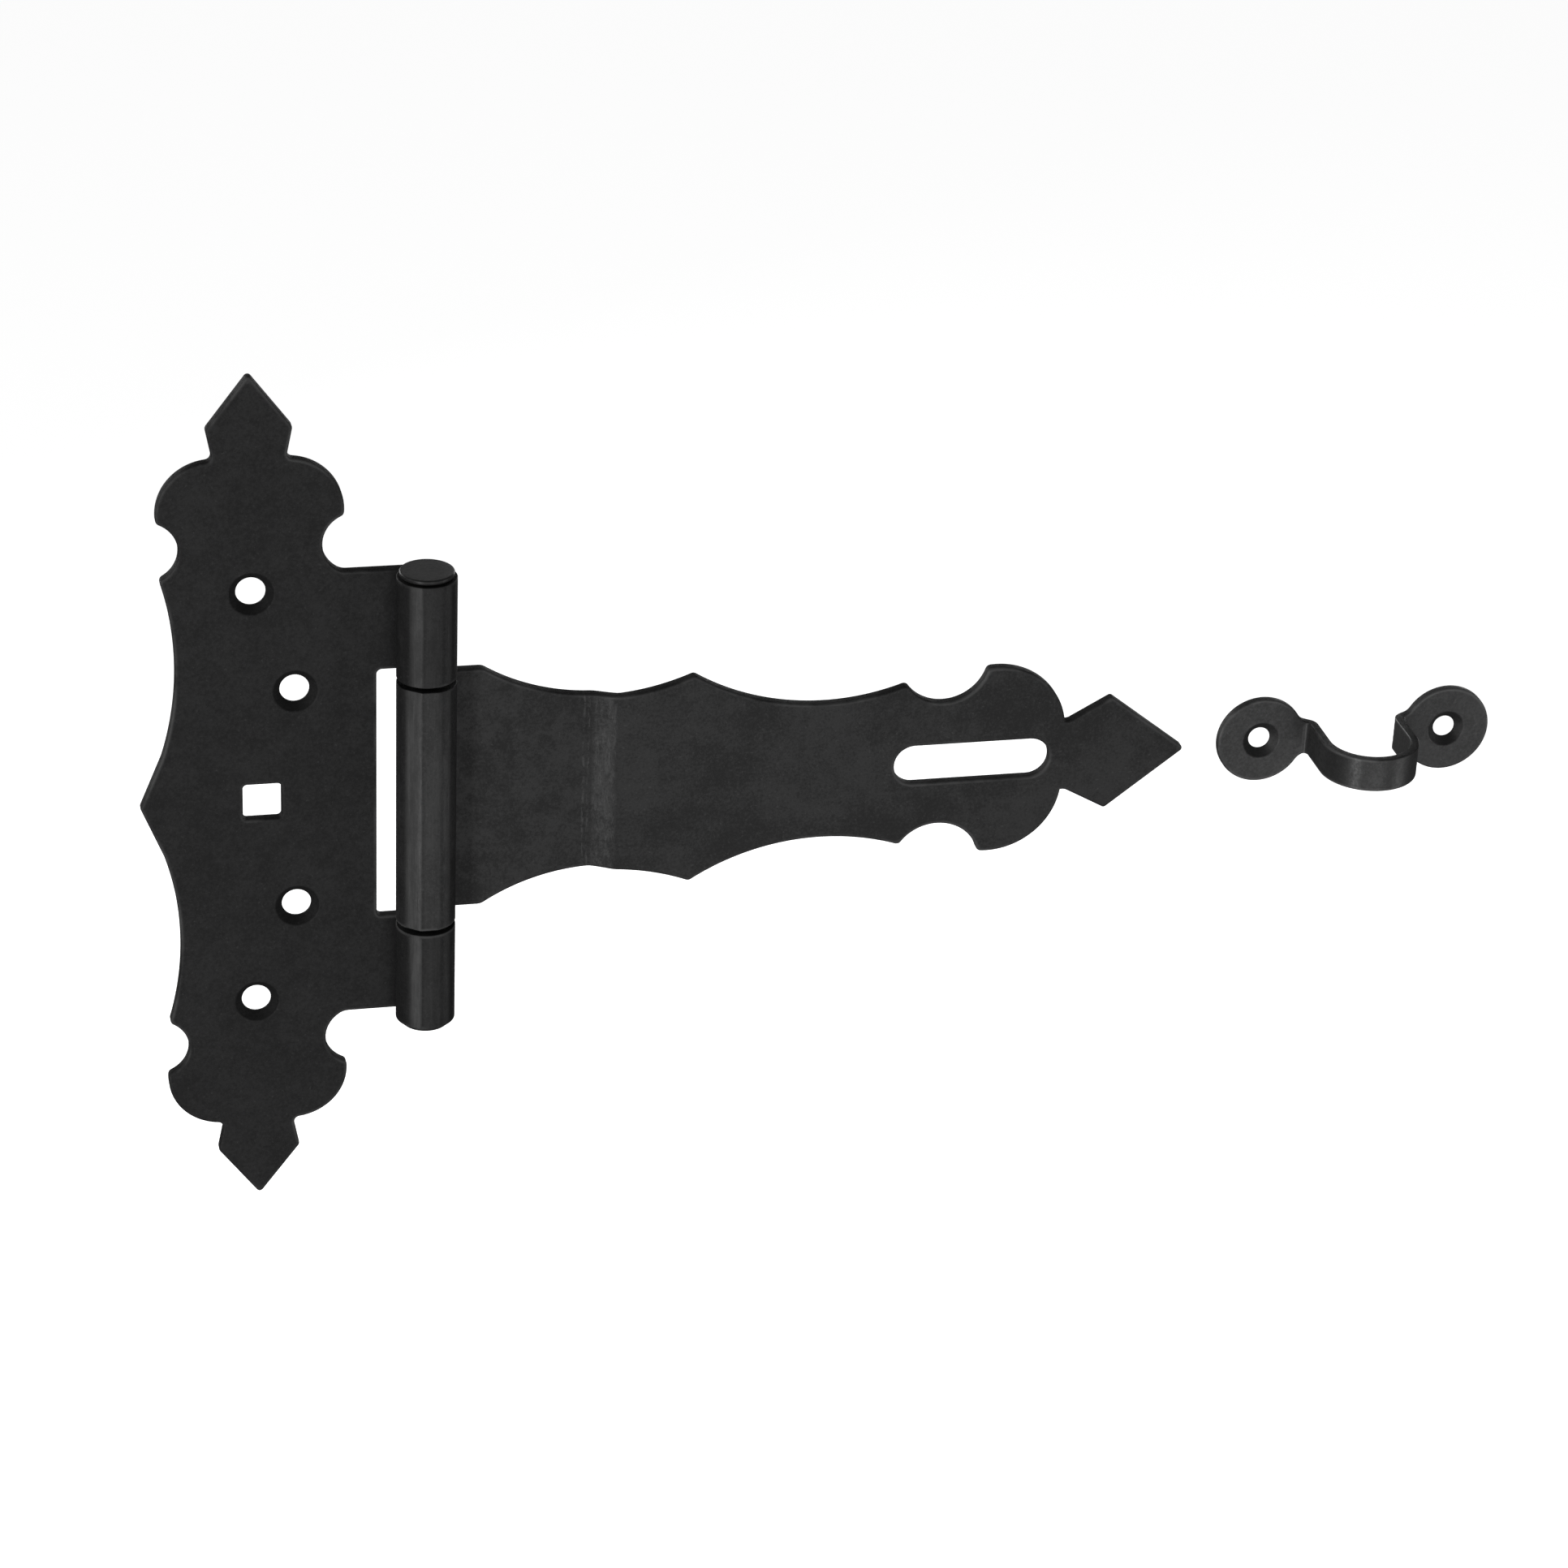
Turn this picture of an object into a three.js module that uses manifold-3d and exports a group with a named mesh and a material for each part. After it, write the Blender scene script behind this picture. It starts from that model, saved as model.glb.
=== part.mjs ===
// Ornamental hinged hasp with its staple, in black-coated pressed steel.
//
// Frame, in millimetres: the mounting surface is the plane y = 0 and the object stands out
// of it towards -Y. Z runs up along the hinge pin, whose axis passes through x = 0, and z = 0
// is the plane about which the hasp is symmetrical. X runs along the strap towards its tip.
//
// The hinge plate and the strap are each one piece of sheet: a flat outline, bent along
// lines parallel to Z. So each is made as its outline, extruded across the sheet, kept only
// where it meets the bent sheet's section, extruded along Z. The staple is made the same way.

import * as THREE from "three";
import { mergeVertices } from "three/addons/utils/BufferGeometryUtils.js";
import Module from "manifold-3d";

const wasm = await Module();
wasm.setup();

// ---- Hinge ---------------------------------------------------------------------------
const SHEET = 2.0; // stock of the plate and the strap
const PIN_DIAMETER = 7.0;
const BORE_CLEARANCE = 0.1; // pin to rolled knuckle, on the radius
const ROLL_GAP = 0.3; // from the rolled-over edge to the sheet that it came from
const KNUCKLE_GAP = 1.0; // between neighbouring knuckles, along the pin
const STRAP_KNUCKLE_LENGTH = 49.5;
const PLATE_KNUCKLE_LENGTH = 20.1;
const PIN_HEAD_INSET = 0.5; // from the knuckle's round in to the rim of either head
const PIN_HEAD_HEIGHT = 0.9;
const RIVET_HEIGHT = 1.1; // the hammered-over lower end
const RIVET_CHAMFER = 0.7;
const HEAD_CLEARANCE = 0.3; // upper knuckle to the underside of the head
const RIVET_CLEARANCE = 0.1; // lower knuckle to the rivet

// ---- Hinge plate ---------------------------------------------------------------------
const STEM_X = -31.5; // centre line of the two finials
const WAIST_X = -45.6; // innermost line of the long hollow edge
const WAIST_SHARE = 0.62; // its height, as a share of the knuckles' half length
const HOLLOW_END_SHARE = 0.221; // where that edge turns straight, towards the point
const POINT_X = -52.5;
const WINDOW_DEPTH = 3.1; // relief window, from the knuckle's round into the plate
const BOLT_HOLE_X = -30.0;
const BOLT_HOLE_SIDE = 7.2; // square, for the neck of a carriage bolt
const STEM_SCREW_DROP = 3.5; // from the end of the knuckles down to the finial's screw
const INNER_SCREW_X = -23.7;
const INNER_SCREW_DROP = 3.4; // from the end of the window down to the inner screw
const SCREW_HOLE_DIAMETER = 5.5;
const SCREW_SINK_DIAMETER = 8.4;

// ---- Finial: measured from the stem's line and from the end of the knuckles ----------
const NOTCH = { x: 19.0, z: 5.5, radius: 6.0 };
const LOBE = { x: 6.7, z: 12.4, radius: 10.3 };
const NECK_HALF_WIDTH = 6.6;
const BARB_HALF_WIDTH = 7.8;
const BARB_Z = 28.8;
const FINIAL_HEIGHT = 39.2;

// ---- Strap ---------------------------------------------------------------------------
const STRAP_LENGTH = 147.8; // pin axis to tip
const ROOT_LENGTH = 5.5; // full-width strap beyond the knuckle's round
const FIRST_HOLLOW = { share: 0.333, halfWidth: 18.1 }; // shares of the length up to the notch
const PEAK = { share: 0.512, halfWidth: 21.7 };
const SECOND_HOLLOW = { share: 0.766, halfWidth: 14.2 };
const STRAP_NOTCH = { fromTip: 48.6, z: 21.5, radius: 8.6 };
const STRAP_LOBE = { fromTip: 38.3, z: 5.6, radius: 14.0 };
const STRAP_NECK = { fromTip: 23.5, halfWidth: 7.3 };
const STRAP_BARB = { fromTip: 15.3, halfWidth: 11.9 };
const JOGGLE_SHARE = 0.313; // where the step starts that lifts the outer strap off the surface
const STAPLE_CLEARANCE = 0.53; // behind the raised strap, over the thickness of an eye
const JOGGLE_ANGLE = THREE.MathUtils.degToRad(25);
const JOGGLE_RADIUS = 4.0; // at the middle of the sheet
const SLOT_FROM_TIP = 42.4;
const SLOT_END_CLEARANCE = 5.75; // beyond the bow, at each end of the slot
const SLOT_SIDE_CLEARANCE = 0.6; // beside the band, on each side

// ---- Staple --------------------------------------------------------------------------
const STAPLE_SHEET = 1.6;
const STAPLE_GAP = 7.65; // from the strap's tip to the near eye
const STAPLE_Z = -0.75;
const EYE_DIAMETER = 17.5;
const EYE_OFFSET = 9.45; // from the outside of the bow to the middle of an eye
const EYE_HOLE_DIAMETER = 4.3;
const EYE_SINK_DIAMETER = 7.4;
const BAND_WIDTH = 6.8;
const BOW_WIDTH = 19.1; // outside
const BOW_HEIGHT = 19.6; // outside, from the mounting surface
const BOW_BEND_RADIUS = 1.8; // at the middle of the band, from eye to leg
const BAND_FILLET = 2.6; // between the band's edge and the eye's round

// ---- Small roundings and the fineness of the curves ----------------------------------
const TIP_ROUNDING = 0.7;
const CORNER_ROUNDING = 1.1;
const ARM_ROUNDING = 2.4;
const ROOT_ROUNDING = 2.5;
const WINDOW_ROUNDING = 1.0;
const BOLT_HOLE_ROUNDING = 0.8;
const CHORD = 1.1; // longest chord of an outline's curve
const CORNER_STEPS = 5;
const BEND_STEP = THREE.MathUtils.degToRad(6);
const HOLE_SEGMENTS = 48;
const OVERRUN = 2.0; // how far a cutter or a profile runs past the sheet

// ---- Values that follow --------------------------------------------------------------
const PIN_RADIUS = PIN_DIAMETER / 2;
const BORE_RADIUS = PIN_RADIUS + BORE_CLEARANCE;
const KNUCKLE_RADIUS = BORE_RADIUS + SHEET;
const STRAP_KNUCKLE_END = STRAP_KNUCKLE_LENGTH / 2;
const WINDOW_END = STRAP_KNUCKLE_END + KNUCKLE_GAP;
const KNUCKLE_END = WINDOW_END + PLATE_KNUCKLE_LENGTH;
const TIP_Z = KNUCKLE_END + FINIAL_HEIGHT;
const WAIST_Z = WAIST_SHARE * KNUCKLE_END;
const WINDOW_X = -KNUCKLE_RADIUS - WINDOW_DEPTH;
const NOTCH_X = STRAP_LENGTH - STRAP_NOTCH.fromTip;
const JOGGLE_X = JOGGLE_SHARE * NOTCH_X;
const JOGGLE_RISE = STAPLE_SHEET + STAPLE_CLEARANCE;
const EYE_SPACING = BOW_WIDTH + 2 * EYE_OFFSET;
const STAPLE_X = STRAP_LENGTH + STAPLE_GAP + (EYE_DIAMETER + EYE_SPACING) / 2;
const ROLL_ANGLE = 2 * Math.PI - Math.acos(1 - (SHEET + ROLL_GAP) / KNUCKLE_RADIUS);
const FRONT_REACH = Math.max(2 * KNUCKLE_RADIUS, BOW_HEIGHT, SHEET + JOGGLE_RISE) + OVERRUN;

// ---- Solids --------------------------------------------------------------------------

/** A closed geometry as a manifold solid. */
function solidOf(geometry) {
  const bare = geometry.index ? geometry.toNonIndexed() : geometry.clone();
  bare.deleteAttribute("normal");
  bare.deleteAttribute("uv");
  const merged = mergeVertices(bare, 1e-4);
  const mesh = new wasm.Mesh({
    numProp: 3,
    vertProperties: merged.attributes.position.array,
    triVerts: new Uint32Array(merged.index.array),
  });
  return new wasm.Manifold(mesh);
}

/** A manifold solid as a geometry. */
function geometryOf(solid) {
  const { vertProperties, triVerts } = solid.getMesh();
  const geometry = new THREE.BufferGeometry();
  geometry.setAttribute("position", new THREE.BufferAttribute(vertProperties, 3));
  geometry.setIndex(new THREE.BufferAttribute(triVerts, 1));
  geometry.computeVertexNormals();
  return geometry;
}

/** An outline drawn in X and Z, extruded right through the object along Y. */
function acrossSheet(points) {
  const depth = FRONT_REACH + OVERRUN;
  const geometry = new THREE.ExtrudeGeometry(new THREE.Shape(points), { depth, bevelEnabled: false });
  geometry.rotateX(Math.PI / 2);
  geometry.translate(0, OVERRUN, 0);
  return solidOf(geometry);
}

/** A section drawn in X and Y, extruded along Z to both sides of z = 0. */
function alongPin(points, halfLength) {
  const depth = 2 * halfLength;
  const geometry = new THREE.ExtrudeGeometry(new THREE.Shape(points), { depth, bevelEnabled: false });
  geometry.translate(0, 0, -halfLength);
  return solidOf(geometry);
}

/** A solid of revolution about the Y axis from [radius, y] pairs that start and end on it. */
function turned(pairs) {
  const points = pairs.map(([radius, y]) => new THREE.Vector2(radius, y));
  return new THREE.LatheGeometry(points, HOLE_SEGMENTS);
}

/** Cutter for a countersunk hole through a sheet whose front face is at y = -thickness. */
function screwHole(x, z, diameter, sinkDiameter, thickness) {
  const radius = diameter / 2;
  const sink = sinkDiameter / 2;
  const frontRadius = sink + OVERRUN; // the 90 degree cone goes on past the front face
  const geometry = turned([
    [0, -thickness - OVERRUN],
    [frontRadius, -thickness - OVERRUN],
    [radius, -thickness + (sink - radius)],
    [radius, OVERRUN],
    [0, OVERRUN],
  ]);
  geometry.translate(x, 0, z);
  return solidOf(geometry);
}

// ---- Outlines ------------------------------------------------------------------------

/** Points of an arc about (x, z), both ends included; angles in radians from +X towards +Z. */
function arc(x, z, radius, from, to) {
  const count = Math.max(2, Math.ceil((Math.abs(to - from) * radius) / CHORD));
  const points = [];
  for (let i = 0; i <= count; i++) {
    const angle = from + ((to - from) * i) / count;
    points.push(new THREE.Vector2(x + radius * Math.cos(angle), z + radius * Math.sin(angle)));
  }
  return points;
}

/** Points of the shorter arc of a circle {x, z, radius} between two points that lie on it. */
function arcBetween(circle, start, end) {
  const from = Math.atan2(start.y - circle.z, start.x - circle.x);
  let to = Math.atan2(end.y - circle.z, end.x - circle.x);
  if (to - from > Math.PI) to -= 2 * Math.PI;
  if (to - from < -Math.PI) to += 2 * Math.PI;
  return arc(circle.x, circle.z, circle.radius, from, to);
}

/** Where two circles {x, z, radius} cross, on the left of the way from the first to the second. */
function crossing(first, second) {
  const dx = second.x - first.x;
  const dz = second.z - first.z;
  const distance = Math.hypot(dx, dz);
  const along = (first.radius ** 2 - second.radius ** 2 + distance ** 2) / (2 * distance);
  const aside = Math.sqrt(first.radius ** 2 - along ** 2);
  const x = first.x + (dx * along - dz * aside) / distance;
  const z = first.z + (dz * along + dx * aside) / distance;
  return new THREE.Vector2(x, z);
}

/** The point of a circle {x, z, radius} at height z, on the side given by its sign. */
function onCircleAtZ(circle, z, side) {
  const reach = Math.sqrt(circle.radius ** 2 - (z - circle.z) ** 2);
  return new THREE.Vector2(circle.x + side * reach, z);
}

/** Mirror image of a run of points in z = 0, in reverse order so that the outline goes on. */
function mirroredBelow(points) {
  return points.map((p) => new THREE.Vector2(p.x, -p.y)).reverse();
}

/** Drops each point that repeats the one before it. */
function withoutRepeats(points) {
  return points.filter((p, i) => p.distanceTo(points[(i + points.length - 1) % points.length]) > 1e-6);
}

/** The point at a distance from a corner, going along a closed outline in steps of way. */
function pointAlong(points, corner, way, distance) {
  let left = distance;
  let index = corner;
  for (;;) {
    const next = (index + way + points.length) % points.length;
    const span = points[index].distanceTo(points[next]);
    if (span >= left) return { next, point: points[index].clone().lerp(points[next], left / span) };
    left -= span;
    index = next;
  }
}

/** How far a closed outline turns at a corner, in radians, seen over a span to each side. */
function turnAt(points, corner, span) {
  const before = pointAlong(points, corner, -1, span).point;
  const after = pointAlong(points, corner, 1, span).point;
  const into = points[corner].clone().sub(before);
  return into.angleTo(after.sub(points[corner]));
}

/** Rounds the corner of a closed outline nearest to a place to a radius. */
function roundCorner(points, place, radius) {
  const distances = points.map((p) => p.distanceTo(place));
  const corner = distances.indexOf(Math.min(...distances));
  const turn = turnAt(points, corner, radius);
  const reach = radius * Math.tan(turn / 2);
  const before = pointAlong(points, corner, -1, reach);
  const after = pointAlong(points, corner, 1, reach);
  const pull = ((4 / 3) * Math.tan(turn / 4)) / Math.tan(turn / 2);
  const curve = new THREE.CubicBezierCurve(
    before.point,
    before.point.clone().lerp(points[corner], pull),
    after.point.clone().lerp(points[corner], pull),
    after.point,
  );
  const rest = [];
  for (let i = after.next; i !== before.next; i = (i + 1) % points.length) rest.push(points[i]);
  return withoutRepeats([...curve.getPoints(CORNER_STEPS), ...rest, points[before.next]]);
}

/** Rounds several corners of a closed outline and their mirror images in z = 0. */
function roundCorners(points, places, radius) {
  const both = places.flatMap((p) => (p.y === 0 ? [p] : [p, new THREE.Vector2(p.x, -p.y)]));
  return both.reduce((outline, place) => roundCorner(outline, place, radius), points);
}

/** How far a closed outline reaches from z = 0. */
function reachOf(points) {
  return Math.max(...points.map((p) => Math.abs(p.y)));
}

/** A rectangle from corner to corner with rounded corners, as a closed outline. */
function roundedRectangle(x0, z0, x1, z1, radius) {
  const corners = [
    [x0, z0],
    [x1, z0],
    [x1, z1],
    [x0, z1],
  ].map(([x, z]) => new THREE.Vector2(x, z));
  return corners.reduce((outline, corner) => roundCorner(outline, corner, radius), corners);
}

// ---- Bent sections -------------------------------------------------------------------

/** Middle line of a bent sheet seen along Z: straight runs and bends, laid end to end. */
class BendLine {
  constructor(x, y, heading) {
    this.place = new THREE.Vector2(x, y);
    this.heading = heading;
    this.stations = [];
    this.mark();
  }

  mark() {
    this.stations.push({ place: this.place.clone(), side: this.sideways() });
  }

  sideways() {
    return new THREE.Vector2(-Math.sin(this.heading), Math.cos(this.heading));
  }

  straight(length) {
    this.place.x += length * Math.cos(this.heading);
    this.place.y += length * Math.sin(this.heading);
    this.mark();
    return this;
  }

  /** A positive angle turns left. */
  bend(radius, angle) {
    const turn = Math.sign(angle) * radius;
    const centre = this.place.clone().addScaledVector(this.sideways(), turn);
    const start = this.heading;
    const steps = Math.ceil(Math.abs(angle) / BEND_STEP);
    for (let i = 1; i <= steps; i++) {
      this.heading = start + (angle * i) / steps;
      this.place = centre.clone().addScaledVector(this.sideways(), -turn);
      this.mark();
    }
    return this;
  }

  /** Closed outline of the sheet, half its thickness to each side of the middle line. */
  section(thickness) {
    const side = (sign) =>
      this.stations.map((s) => s.place.clone().addScaledVector(s.side, (sign * thickness) / 2));
    return [...side(1), ...side(-1).reverse()];
  }
}

/** Section of the hinge plate: flat against the surface, then rolled forward round the pin. */
function plateSection() {
  const start = POINT_X - OVERRUN;
  return new BendLine(start, -SHEET / 2, 0)
    .straight(-start)
    .bend(KNUCKLE_RADIUS - SHEET / 2, -ROLL_ANGLE)
    .section(SHEET);
}

/** Section of the strap, from beyond its tip: raised, stepped down, flat, rolled. */
function strapSection() {
  const start = STRAP_LENGTH + OVERRUN;
  const bendsRise = 2 * JOGGLE_RADIUS * (1 - Math.cos(JOGGLE_ANGLE));
  const ramp = (JOGGLE_RISE - bendsRise) / Math.sin(JOGGLE_ANGLE);
  const joggleSpan = 2 * JOGGLE_RADIUS * Math.sin(JOGGLE_ANGLE) + ramp * Math.cos(JOGGLE_ANGLE);
  return new BendLine(start, -SHEET / 2 - JOGGLE_RISE, Math.PI)
    .straight(start - JOGGLE_X - joggleSpan)
    .bend(JOGGLE_RADIUS, -JOGGLE_ANGLE)
    .straight(ramp)
    .bend(JOGGLE_RADIUS, JOGGLE_ANGLE)
    .straight(JOGGLE_X)
    .bend(KNUCKLE_RADIUS - SHEET / 2, ROLL_ANGLE)
    .section(SHEET);
}

/** Section of the staple about its own middle: eye, leg, bow, leg, eye. */
function stapleSection() {
  const half = STAPLE_SHEET / 2;
  const legX = BOW_WIDTH / 2 - half;
  const start = EYE_SPACING / 2 + EYE_DIAMETER / 2 + OVERRUN;
  const foot = start - legX - BOW_BEND_RADIUS;
  const leg = BOW_HEIGHT - half - legX - half - BOW_BEND_RADIUS;
  return new BendLine(-start, -half, 0)
    .straight(foot)
    .bend(BOW_BEND_RADIUS, -Math.PI / 2)
    .straight(leg)
    .bend(legX, Math.PI)
    .straight(leg)
    .bend(BOW_BEND_RADIUS, -Math.PI / 2)
    .straight(foot)
    .section(STAPLE_SHEET);
}

// ---- Hinge plate ---------------------------------------------------------------------

/** Right half of the upper finial, from the end of the knuckles up to the tip. */
function finialSide() {
  const notch = { ...NOTCH, x: STEM_X + NOTCH.x, z: KNUCKLE_END + NOTCH.z };
  const lobe = { ...LOBE, x: STEM_X + LOBE.x, z: KNUCKLE_END + LOBE.z };
  const foot = onCircleAtZ(notch, KNUCKLE_END, -1);
  const cusp = crossing(lobe, notch);
  const neckX = STEM_X + NECK_HALF_WIDTH;
  const neckZ = lobe.z + Math.sqrt(lobe.radius ** 2 - (neckX - lobe.x) ** 2);
  const neck = new THREE.Vector2(neckX, neckZ);
  const barb = new THREE.Vector2(STEM_X + BARB_HALF_WIDTH, KNUCKLE_END + BARB_Z);
  return {
    points: [...arcBetween(notch, foot, cusp), ...arcBetween(lobe, cusp, neck), barb],
    foot,
    cusp,
    neck,
    barb,
  };
}

/** Mirror image of a point in the finial's own centre line. */
function acrossStem(point) {
  return new THREE.Vector2(2 * STEM_X - point.x, point.y);
}

/** The plate's long hollow edge, from the upper finial's foot down to the point. */
function hollowEdge(foot) {
  const inset = WAIST_X - foot.x;
  const rise = foot.y - WAIST_Z;
  const radius = (inset ** 2 + rise ** 2) / (2 * inset);
  const circle = { x: WAIST_X - radius, z: WAIST_Z, radius };
  return arcBetween(circle, foot, onCircleAtZ(circle, HOLLOW_END_SHARE * KNUCKLE_END, 1));
}

/** Outline of the plate, its knuckles' strips running past the pin. */
function plateOutline() {
  const side = finialSide();
  const tip = new THREE.Vector2(STEM_X, TIP_Z);
  const leftFoot = acrossStem(side.foot);
  const point = new THREE.Vector2(POINT_X, 0);
  const armEnd = KNUCKLE_RADIUS + OVERRUN;
  const upper = [
    new THREE.Vector2(armEnd, WINDOW_END),
    new THREE.Vector2(armEnd, KNUCKLE_END),
    ...side.points,
    tip,
    ...side.points.map(acrossStem).reverse(),
    ...hollowEdge(leftFoot),
  ];
  const window = new THREE.Vector2(WINDOW_X, WINDOW_END);
  const outline = withoutRepeats([window, ...upper, point, ...mirroredBelow([window, ...upper])]);
  const sharp = [leftFoot, side.cusp, acrossStem(side.cusp), side.neck, acrossStem(side.neck)];
  const barbs = [side.barb, acrossStem(side.barb)];
  const cusped = roundCorners(outline, [...sharp, ...barbs], CORNER_ROUNDING);
  const tipped = roundCorners(cusped, [tip, point], TIP_ROUNDING);
  const armed = roundCorners(tipped, [side.foot], ARM_ROUNDING);
  return roundCorners(armed, [window], WINDOW_ROUNDING);
}

function boltHole() {
  const half = BOLT_HOLE_SIDE / 2;
  return acrossSheet(
    roundedRectangle(BOLT_HOLE_X - half, -half, BOLT_HOLE_X + half, half, BOLT_HOLE_ROUNDING),
  );
}

/** Cutters for the screw holes, each with its mirror image below z = 0. */
function plateScrewHoles() {
  const upper = [
    [STEM_X, KNUCKLE_END - STEM_SCREW_DROP],
    [INNER_SCREW_X, WINDOW_END - INNER_SCREW_DROP],
  ];
  return upper.flatMap(([x, z]) =>
    [z, -z].map((height) => screwHole(x, height, SCREW_HOLE_DIAMETER, SCREW_SINK_DIAMETER, SHEET)),
  );
}

function hingePlate() {
  const outline = plateOutline();
  const sheet = alongPin(plateSection(), reachOf(outline) + OVERRUN).intersect(acrossSheet(outline));
  const cutters = [...plateScrewHoles(), boltHole()];
  return geometryOf(cutters.reduce((rest, cutter) => rest.subtract(cutter), sheet));
}

// ---- Strap ---------------------------------------------------------------------------

/** Circle that runs level through the bottom of a hollow and rises to an end point. */
function hollowCircle(bottom, end) {
  const across = end.x - bottom.x;
  const rise = end.y - bottom.y;
  const radius = (across ** 2 + rise ** 2) / (2 * rise);
  return { x: bottom.x, z: bottom.y + radius, radius };
}

/** Upper edge of the strap from its barb back to its root. */
function strapEdge() {
  const onEdge = ({ share, halfWidth }) => new THREE.Vector2(share * NOTCH_X, halfWidth);
  const first = onEdge(FIRST_HOLLOW);
  const peak = onEdge(PEAK);
  const second = onEdge(SECOND_HOLLOW);
  const root = new THREE.Vector2(KNUCKLE_RADIUS + ROOT_LENGTH, STRAP_KNUCKLE_END);
  const notch = { ...STRAP_NOTCH, x: NOTCH_X };
  const lobe = { ...STRAP_LOBE, x: STRAP_LENGTH - STRAP_LOBE.fromTip };
  const neck = new THREE.Vector2(STRAP_LENGTH - STRAP_NECK.fromTip, STRAP_NECK.halfWidth);
  const barb = new THREE.Vector2(STRAP_LENGTH - STRAP_BARB.fromTip, STRAP_BARB.halfWidth);
  const secondHollow = hollowCircle(second, peak);
  const lobeCusp = crossing(notch, lobe);
  const notchCusp = crossing(notch, secondHollow);
  return {
    points: [
      barb,
      neck,
      ...arcBetween(lobe, onCircleAtZ(lobe, neck.y, 1), lobeCusp),
      ...arcBetween(notch, lobeCusp, notchCusp),
      ...arcBetween(secondHollow, notchCusp, peak),
      ...arcBetween(hollowCircle(first, peak), peak, first),
      ...arcBetween(hollowCircle(first, root), first, root),
    ],
    corners: [neck, lobeCusp, notchCusp, peak],
    root,
  };
}

/** Outline of the strap, its knuckle's strip running past the pin. */
function strapOutline() {
  const edge = strapEdge();
  const tip = new THREE.Vector2(STRAP_LENGTH, 0);
  const end = new THREE.Vector2(-KNUCKLE_RADIUS - OVERRUN, STRAP_KNUCKLE_END);
  const upper = [...edge.points, end];
  const outline = withoutRepeats([tip, ...upper, ...mirroredBelow(upper)]);
  const rounded = roundCorners(outline, edge.corners, CORNER_ROUNDING);
  const rooted = roundCorners(rounded, [edge.root], ROOT_ROUNDING);
  return roundCorners(rooted, [tip, edge.points[0]], TIP_ROUNDING);
}

/** Cutter for the slot with round ends that drops over the staple. */
function strapSlot() {
  const middle = STRAP_LENGTH - SLOT_FROM_TIP;
  const radius = BAND_WIDTH / 2 + SLOT_SIDE_CLEARANCE;
  const reach = BOW_WIDTH / 2 + SLOT_END_CLEARANCE - radius;
  const right = arc(middle + reach, 0, radius, -Math.PI / 2, Math.PI / 2);
  const left = arc(middle - reach, 0, radius, Math.PI / 2, (3 * Math.PI) / 2);
  return acrossSheet([...right, ...left]);
}

function haspStrap() {
  const outline = strapOutline();
  const sheet = alongPin(strapSection(), reachOf(outline) + OVERRUN).intersect(acrossSheet(outline));
  return geometryOf(sheet.subtract(strapSlot()));
}

// ---- Pin -----------------------------------------------------------------------------

/** The hinge pin: a flat head on top, and a lower end hammered over into a low rivet. */
function hingePin() {
  const under = KNUCKLE_END + HEAD_CLEARANCE;
  const rivet = -KNUCKLE_END - RIVET_CLEARANCE;
  const head = KNUCKLE_RADIUS - PIN_HEAD_INSET;
  const geometry = turned([
    [0, rivet - RIVET_HEIGHT],
    [head - RIVET_CHAMFER, rivet - RIVET_HEIGHT],
    [head, rivet - RIVET_HEIGHT + RIVET_CHAMFER],
    [head, rivet],
    [PIN_RADIUS, rivet],
    [PIN_RADIUS, under],
    [head, under],
    [head, under + PIN_HEAD_HEIGHT],
    [0, under + PIN_HEAD_HEIGHT],
  ]);
  geometry.rotateX(Math.PI / 2);
  geometry.translate(0, -KNUCKLE_RADIUS, 0);
  return geometryOf(solidOf(geometry));
}

// ---- Staple --------------------------------------------------------------------------

/** Upper right quarter of the staple's outline: the eye's round, then the band's edge. */
function stapleQuarter() {
  const eye = { x: EYE_SPACING / 2, z: 0, radius: EYE_DIAMETER / 2 };
  const half = BAND_WIDTH / 2;
  const drop = half + BAND_FILLET;
  const back = Math.sqrt((eye.radius + BAND_FILLET) ** 2 - drop ** 2);
  const fillet = { x: eye.x - back, z: drop, radius: BAND_FILLET };
  const share = eye.radius / (eye.radius + BAND_FILLET);
  const touch = new THREE.Vector2(eye.x - back * share, drop * share);
  const bandStart = new THREE.Vector2(fillet.x, half);
  const outermost = new THREE.Vector2(eye.x + eye.radius, 0);
  return [...arcBetween(eye, outermost, touch), ...arcBetween(fillet, touch, bandStart)];
}

function stapleOutline() {
  const right = stapleQuarter();
  const left = right.map((p) => new THREE.Vector2(-p.x, p.y)).reverse();
  const upper = [...right, ...left];
  return withoutRepeats([...upper, ...mirroredBelow(upper)]);
}

function staple() {
  const outline = stapleOutline();
  const band = alongPin(stapleSection(), reachOf(outline) + OVERRUN);
  const holes = [-1, 1].map((side) =>
    screwHole((side * EYE_SPACING) / 2, 0, EYE_HOLE_DIAMETER, EYE_SINK_DIAMETER, STAPLE_SHEET),
  );
  const body = band.intersect(acrossSheet(outline));
  return geometryOf(holes.reduce((rest, hole) => rest.subtract(hole), body));
}

// ---- Object --------------------------------------------------------------------------

/** Satin black coating over steel; each piece has taken it a little differently. */
function coatedSteel(color, roughness) {
  return new THREE.MeshStandardMaterial({ color, roughness, metalness: 0.55 });
}

function piece(name, geometry, material) {
  const mesh = new THREE.Mesh(geometry, material);
  mesh.name = name;
  return mesh;
}

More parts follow.
